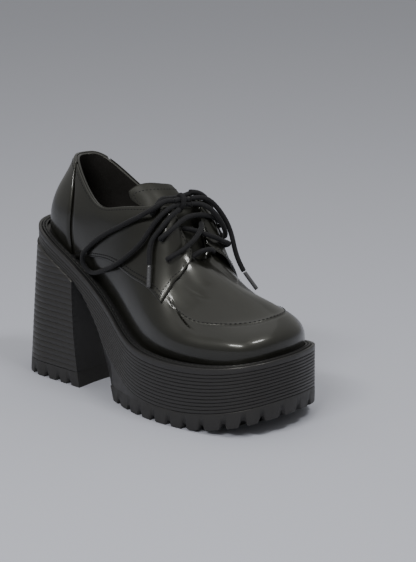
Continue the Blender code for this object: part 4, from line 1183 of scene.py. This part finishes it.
def upper_points(phase, level):
    """Points of the upper's outer surface: level 0 is the feather line, 2 the apron seam, 4 the mouth."""
    phase = np.asarray(phase, float).ravel()
    level = np.asarray(level, float).ravel()
    foot_along, foot_across = inset_outline(phase, ledge(phase))
    base = rim_line(foot_along)
    keys = [np.stack([foot_along, foot_across, base - LIP_DEPTH + GAP], 1)]
    for along, across, height in LEVELS:
        keys.append(np.stack([along(phase), across(phase), base + height(phase)], 1))
    keys = np.stack(keys, 1)
    steps = np.linalg.norm(np.diff(keys, axis=1), axis=2)
    slopes = np.diff(keys, axis=1) / steps[:, :, None]
    system = np.zeros((len(phase), 3, 3))
    for i in range(3):
        system[:, i, i] = 2 * (steps[:, i] + steps[:, i + 1])
        if i < 2:
            system[:, i, i + 1] = steps[:, i + 1]
            system[:, i + 1, i] = steps[:, i + 1]
    bend = np.linalg.solve(system, 6 * np.diff(slopes, axis=1))
    nothing = np.zeros((len(phase), 1, 3))
    bend = np.concatenate([nothing, bend, nothing], 1)
    i = np.clip(np.floor(level).astype(int), 0, 3)
    rows = np.arange(len(phase))
    step = steps[rows, i][:, None]
    behind = (level - i)[:, None] * step
    ahead = step - behind
    return between_knots(ahead, behind, step, (keys[rows, i], keys[rows, i + 1]),
                         (bend[rows, i], bend[rows, i + 1]))


def upper_normals(phase, level):
    phase = np.asarray(phase, float).ravel()
    level = np.asarray(level, float).ravel()
    up, down = np.minimum(level + 0.02, 4.0), np.maximum(level - 0.02, 0.0)
    round_shoe = upper_points(phase + 0.3, level) - upper_points(phase - 0.3, level)
    up_wall = upper_points(phase, up) - upper_points(phase, down)
    normal = np.cross(round_shoe, up_wall)
    return normal / np.linalg.norm(normal, axis=1)[:, None]


def upper_skin(phase, level, lift):
    """Points at a height above the upper's outer surface, or below it where lift is negative."""
    return upper_points(phase, level) + upper_normals(phase, level) * np.asarray(lift).reshape(-1, 1)


print("toe, top of the apron seam:", upper_points(180, 2.0).round(4).tolist())

# %% [markdown]
# ## Upper
# The apron seam is a small ridge where the top and the wall are sewn together, and the thread pulls
# puckers across it. They are lifts of the surface, placed by level and phase, so the seam is a real
# shape that shades from every side. The fold below the tab and the vamp's flex creases are placed
# in the same way, and the mesh is finer there, because a fold needs several columns to look soft.

# %% Upper
SEAM_HEIGHT = 0.00055
SEAM_SPAN = (109.5, 250.5)
PUCKER_PITCH = 3.0
UPPER_COLUMNS = 170
FOLD_SPAN = (111, 130)
CREASES = [
    # phase, level, phase gained a level, half width in phase, half width in level, depth
    (121.6, 1.81, -31.0, 0.75, 0.14, 0.0021),
    (113.2, 2.06, -20.0, 0.9, 0.07, 0.0006),
    (134.0, 2.86, 0.0, 9.0, 0.045, 0.0004),
    (226.0, 2.80, 0.0, 9.0, 0.045, 0.0004),
    (142.0, 3.25, 0.0, 8.0, 0.06, 0.0004),
]


def upper_lift(phase, level):
    """How far the leather stands off the smooth form: the apron seam, its puckers and the creases."""
    start, end = SEAM_SPAN
    inside = blend(phase, start, start + 5) * (1 - blend(phase, end - 5, end))
    off = level - 2.0
    pucker = 0.5 + 0.5 * np.cos(2 * math.pi * phase / PUCKER_PITCH)
    ridge = np.exp(-(off / 0.024) ** 2) * (0.60 + 0.40 * pucker)
    valley = np.exp(-((off + 0.075) / 0.045) ** 2) * (0.45 + 0.15 * (1 - pucker))
    step = 0.35 * blend(off, 0.02, 0.09) * (1 - blend(off, 0.09, 0.45))
    lift = SEAM_HEIGHT * inside * (0.5 * ridge - valley - step)
    for at, height, slope, wide, tall, depth in CREASES:
        aside = (phase - at - slope * (level - height)) / wide
        lift = lift - depth * np.exp(-aside ** 2 - ((level - height) / tall) ** 2)
    return lift


def upper_rows():
    low = np.concatenate([np.linspace(0, 1.5, 16), np.linspace(1.55, 1.71, 5)])
    seam = [np.linspace(1.75, 1.90, 5), np.linspace(1.915, 2.085, 15), np.linspace(2.10, 2.3, 6)]
    return np.concatenate([low, *seam, np.linspace(2.36, 3.94, 26), [3.97, 3.985]])


def upper():
    phases = loop_phases(UPPER_COLUMNS)
    phases = phases[(phases < FOLD_SPAN[0]) | (phases > FOLD_SPAN[1])]
    phases = np.sort(np.concatenate([phases, np.arange(FOLD_SPAN[0] + 0.4, FOLD_SPAN[1] - 0.2, 0.5)]))
    outer, inner = [], []
    for level in upper_rows():
        levels = np.full(len(phases), level)
        outer.append(upper_skin(phases, levels, upper_lift(phases, levels)))
        inner.append(upper_skin(phases, levels, np.full(len(phases), -WALL)))
    rim = np.full(len(phases), 4.0)
    for sink in (0.25, 0.5, 0.75):
        outer.append(upper_skin(phases, rim, np.full(len(phases), -WALL * sink)))
    points, faces = ring_of_loops(outer + inner[::-1])
    lining = len(phases) * len(inner)
    piece("lasted_upper", points, faces, "upper", "upper_leather", [LEATHER, LINING], inner=lining)
    print("upper faces:", len(faces))


upper()


def surface_line(phase, level, lift):
    """A line on the upper with its outward normals, for stitches."""
    return upper_skin(phase, level, lift), upper_normals(phase, level)


def apron_stitches():
    phases = np.linspace(SEAM_SPAN[0] + 1.5, SEAM_SPAN[1] - 1.5, 260)
    levels = np.full(len(phases), 2.0)
    line, outward = surface_line(phases, levels, upper_lift(phases, levels) + ABOVE_LEATHER)
    stitch_row("apron_stitches", line, outward, APRON_THREAD)


apron_stitches()

# %% [markdown]
# ## Panels
# The heel panel and the two side panels are cut from the same surface and laid on it. A panel is a patch
# between four edge lines in phase and level; its outer skin thins towards the edge, as skived leather
# does, and rows of stitches run beside its seams.

# %% Panels
EDGE_SHARES = np.array([0.0, 0.004, 0.010, 0.020])
EDGE_LIFTS = np.array([0.30, 0.72, 0.93, 1.0])


def panel_patch(bottom, top, rear, front, upward, across):
    """A grid of phase, level and lift that blends between four edge curves, each a function of 0 to 1."""
    low, high = bottom(across), top(across)
    back, fore = rear(upward)[:, None], front(upward)[:, None]
    t, s = upward[:, None, None], across[:, None]
    ruled = (1 - t) * low + t * high + (1 - s) * back + s * fore
    corners = (1 - s) * (1 - t) * low[0] + s * (1 - t) * low[-1]
    corners = corners + (1 - s) * t * high[0] + s * t * high[-1]
    return ruled - corners


def path(rows):
    """A table as smooth curves over 0 to 1, by the row's own spacing."""
    table = np.array(rows, float)
    knots = travelled(table[:, :2] / [20.0, 1.0])
    return lambda at: through(knots / knots[-1], table, at)


def fine_shares(count):
    middle = np.linspace(EDGE_SHARES[-1], 1 - EDGE_SHARES[-1], count)
    return np.concatenate([EDGE_SHARES[:-1], middle, 1 - EDGE_SHARES[-2::-1]])


def skived(rows, columns):
    """How much of its thickness a panel keeps near each edge."""
    def keep(shares):
        return np.interp(np.minimum(shares, 1 - shares), EDGE_SHARES, EDGE_LIFTS)
    return np.minimum(keep(rows)[:, None], keep(columns)[None, :])


def panel(name, grid, keep, thickness, gap, node):
    rows, columns = grid.shape[:2]
    phase, level, lift = (grid[:, :, i].ravel() for i in range(3))
    level = np.clip(level, 0.0, 4.0)
    low = upper_skin(phase, level, lift + gap).reshape(rows, columns, 3)
    high = upper_skin(phase, level, lift + gap + thickness * keep.ravel()).reshape(rows, columns, 3)
    piece(name, *slab(high, low), node, "upper_leather", [LEATHER])
    print(name, "grid:", rows, "x", columns)


def panel_stitches(name, line, height, thread=FINE_THREAD):
    """Stitches along one row or one column of a panel's grid, at the height of its face."""
    phase, level, lift = line[:, 0], np.clip(line[:, 1], 0.0, 4.0), line[:, 2]
    place, outward = surface_line(phase, level, lift + height + ABOVE_LEATHER)
    stitch_row(name, place, outward, thread)


heel_seam = open_curve(column(COUNTER_SEAM, 0), column(COUNTER_SEAM, 1))


def counter():
    rows, columns = fine_shares(34), fine_shares(70)
    grid = np.zeros((len(rows), len(columns), 3))
    for r, share in enumerate(rows):
        grid[r, :, 0] = (columns * 2 - 1) * float(heel_seam(share * 4.0))
        grid[r, :, 1] = share * 4.0
    panel("heel_panel", grid, skived(rows, columns), COUNTER_THICKNESS, SKIN_GAP, "counter")
    panel_stitches("heel_collar_stitches", grid[-6], SKIN_GAP + COUNTER_THICKNESS)


counter()


def quarter(name, side):
    def rear(at):
        level = at * 4.0
        return np.stack([heel_seam(level) + SEAM_MARGIN, level, np.zeros(len(at))], 1)

    def top(at):
        start, end = rear(np.array([1.0]))[0], QUARTER_FRONT[-1]
        phase = start[0] + (end[0] - start[0]) * at
        lift = end[2] * FLAP_LIFT * blend(phase, 104.0, end[0])
        return np.stack([phase, np.full(len(at), 4.0), lift], 1)

    front_rows = [(phase, level, lift * FLAP_LIFT) for phase, level, lift in QUARTER_FRONT]
    seam_rows = [(phase, level, 0.0) for phase, level in QUARTER_SEAM]
    rows, columns = fine_shares(60), fine_shares(110)
    grid = panel_patch(path(seam_rows), top, rear, path(front_rows), rows, columns)
    if side > 0:
        grid[:, :, 0] = 360.0 - grid[:, :, 0]
    panel(name + "_panel", grid, skived(rows, columns), QUARTER_THICKNESS, QUARTER_GAP, name)
    for label, line, thread in (("lower", grid[4, 3:-3], HEAVY_THREAD),
                                ("lower_second", grid[7, 3:-3], HEAVY_THREAD),
                                ("front", grid[3:-3, -6], FINE_THREAD),
                                ("collar", grid[-6, 3:-6], FINE_THREAD)):
        panel_stitches("%s_%s_stitches" % (name, label), line, QUARTER_GAP + QUARTER_THICKNESS, thread)


quarter("quarter_lateral", -1)
quarter("quarter_medial", 1)

# %% [markdown]
# ## Tongue
# The tongue is one curved plate. Below, it is seated against the wall's inner face; above the collar it
# stands free and curls round the ankle, with rounded corners and a line of stitches inside its edge.

# %% Tongue
def across_sections(controls, shares):
    """Sections through control points, one list a station, sampled at shares of their own length."""
    grid = []
    for points in controls:
        knots = travelled(points)
        grid.append(through(knots / knots[-1], points, shares))
    return np.array(grid)


def grid_normals(grid):
    along = np.gradient(grid, axis=0)
    across = np.gradient(grid, axis=1)
    normal = np.cross(across, along)
    return normal / np.linalg.norm(normal, axis=2)[:, :, None]


def tongue_grid(stations, shares):
    """The tongue's outer face: seated against the wall's inner face, then free above the collar."""
    controls = []
    for edge, edge_level, shoulder, shoulder_level, depth, bulge in TONGUE_SEAT:
        phases = [edge, shoulder, 360 - shoulder, 360 - edge]
        levels = [edge_level, shoulder_level, shoulder_level, edge_level]
        outer = upper_skin(phases, levels, [-WALL - GAP - depth] * 4)
        middle = (outer[1] + outer[2]) / 2 + np.array([0.78, 0.0, 0.62]) * bulge
        controls.append(np.array([outer[0], outer[1], middle, outer[2], outer[3]]))
    size = np.array([RIM_LENGTH, RIM_WIDTH, BACK_HEIGHT])
    for row in TONGUE_TOP:
        edge, shoulder = np.array(row[:3]) * size, np.array(row[3:6]) * size
        middle = np.array([row[6], 0.0, row[7]]) * size
        mirror = np.array([1, -1, 1])
        lean = np.array([0.0, 0.0, row[8] * BACK_HEIGHT])
        less = lean * row[4] / row[1]
        outer_side = [edge * mirror + lean, shoulder * mirror + less]
        controls.append(np.array(outer_side + [middle, shoulder - less, edge - lean]))
    sections = across_sections(np.array(controls), shares)
    knots = travelled(sections[:, len(shares) // 2])
    grid = []
    for c, share in enumerate(shares):
        reach = 1 - TONGUE_CORNER * abs(2 * share - 1) ** TONGUE_CORNER_POWER
        grid.append(through(knots / knots[-1], sections[:, c], stations * reach))
    return np.stack(grid, 1)


def tongue():
    rows, columns = fine_shares(60), fine_shares(50)
    top = tongue_grid(rows, columns)
    outward = grid_normals(top)
    thick = TONGUE_THICKNESS * skived(rows, columns)
    high = top - outward * ((TONGUE_THICKNESS - thick) / 2)[:, :, None]
    low = top - outward * ((TONGUE_THICKNESS + thick) / 2)[:, :, None]
    piece("tongue_plate", *slab(high, low), "tongue", "upper_leather", [TONGUE_LEATHER, LINING])
    edge, normal = (np.concatenate([grid[30:-8, 5], grid[-8, 5:-5], grid[30:-8, -6][::-1]])
                    for grid in (top, outward))
    stitch_row("tongue_stitches", edge, normal, FINE_THREAD)


tongue()

# %% [markdown]
# ## Floor and light
# Glossy black shows the lights more than itself. A broad box hangs above and behind, the sky brightens
# upwards for a soft gradient, and two small boxes near the lens put the bright marks on the toe. The
# floor is a plain pale sheet, so large that its edge never shows.

# %% Floor and light
FLOOR_SIZE = 16.0
SKY_STRENGTH = (0.32, 0.62)  # at the horizon and overhead
SKY_RISE = 0.9
# Lights: name, place to the right of the shoe, above it and towards the camera, width, height, watts
SOFTBOXES = [
    ("overhead_box", -0.2, 2.4, -0.7, 3.2, 2.4, 7),
    ("toe_box", -0.52, 1.08, 1.06, 0.80, 0.16, 15),
    ("second_toe_box", 0.62, 1.34, 0.58, 0.48, 0.16, 9),
]


def floor():
    mesh = bpy.data.meshes.new("floor")
    half = FLOOR_SIZE / 2
    corners = [(-half, -half, 0), (half, -half, 0), (half, half, 0), (-half, half, 0)]
    mesh.from_pydata(corners, [], [(0, 1, 2, 3)])
    made = bpy.data.objects.new("floor", mesh)
    bpy.context.collection.objects.link(made)
    mesh.materials.append(surface("floor_paper", (0.440, 0.449, 0.498), (0.9, 0.9, 0),
                                  one_noise(80, 3.0, 0.05, 0.0005), specular=0.1))


def softbox(name, right, up, back, width, height, power):
    """An area light placed from the camera's own directions and aimed at the shoe."""
    data = bpy.data.lights.new(name, "AREA")
    data.shape = "RECTANGLE"
    data.size, data.size_y, data.energy = width, height, power
    made = bpy.data.objects.new(name, data)
    bpy.context.collection.objects.link(made)
    middle = Vector(CAMERA_TARGET)
    flat_back = Vector((VIEW_BACK.x, VIEW_BACK.y, 0)).normalized()
    flat_right = Vector((VIEW_RIGHT.x, VIEW_RIGHT.y, 0)).normalized()
    made.location = middle + flat_right * right + Vector((0, 0, up)) + flat_back * back
    made.rotation_euler = (middle - made.location).to_track_quat("-Z", "Y").to_euler()


def world():
    made = bpy.data.worlds.new("studio")
    made.use_nodes = True
    tree = made.node_tree
    sky = tree.nodes["Background"]
    tune(sky, Color=(1.0, 1.0, 0.98, 1.0))
    place, parts, rise = (tree.nodes.new("ShaderNode" + kind)
                          for kind in ("TexCoord", "SeparateXYZ", "MapRange"))
    tune(rise, From_Min=0.0, From_Max=SKY_RISE, To_Min=SKY_STRENGTH[0], To_Max=SKY_STRENGTH[1])
    tree.links.new(place.outputs["Generated"], parts.inputs["Vector"])
    tree.links.new(parts.outputs["Z"], rise.inputs["Value"])
    tree.links.new(rise.outputs["Result"], sky.inputs["Strength"])
    bpy.context.scene.world = made


floor()
world()
for row in SOFTBOXES:
    softbox(*row)
print("lights:", len(bpy.data.lights))
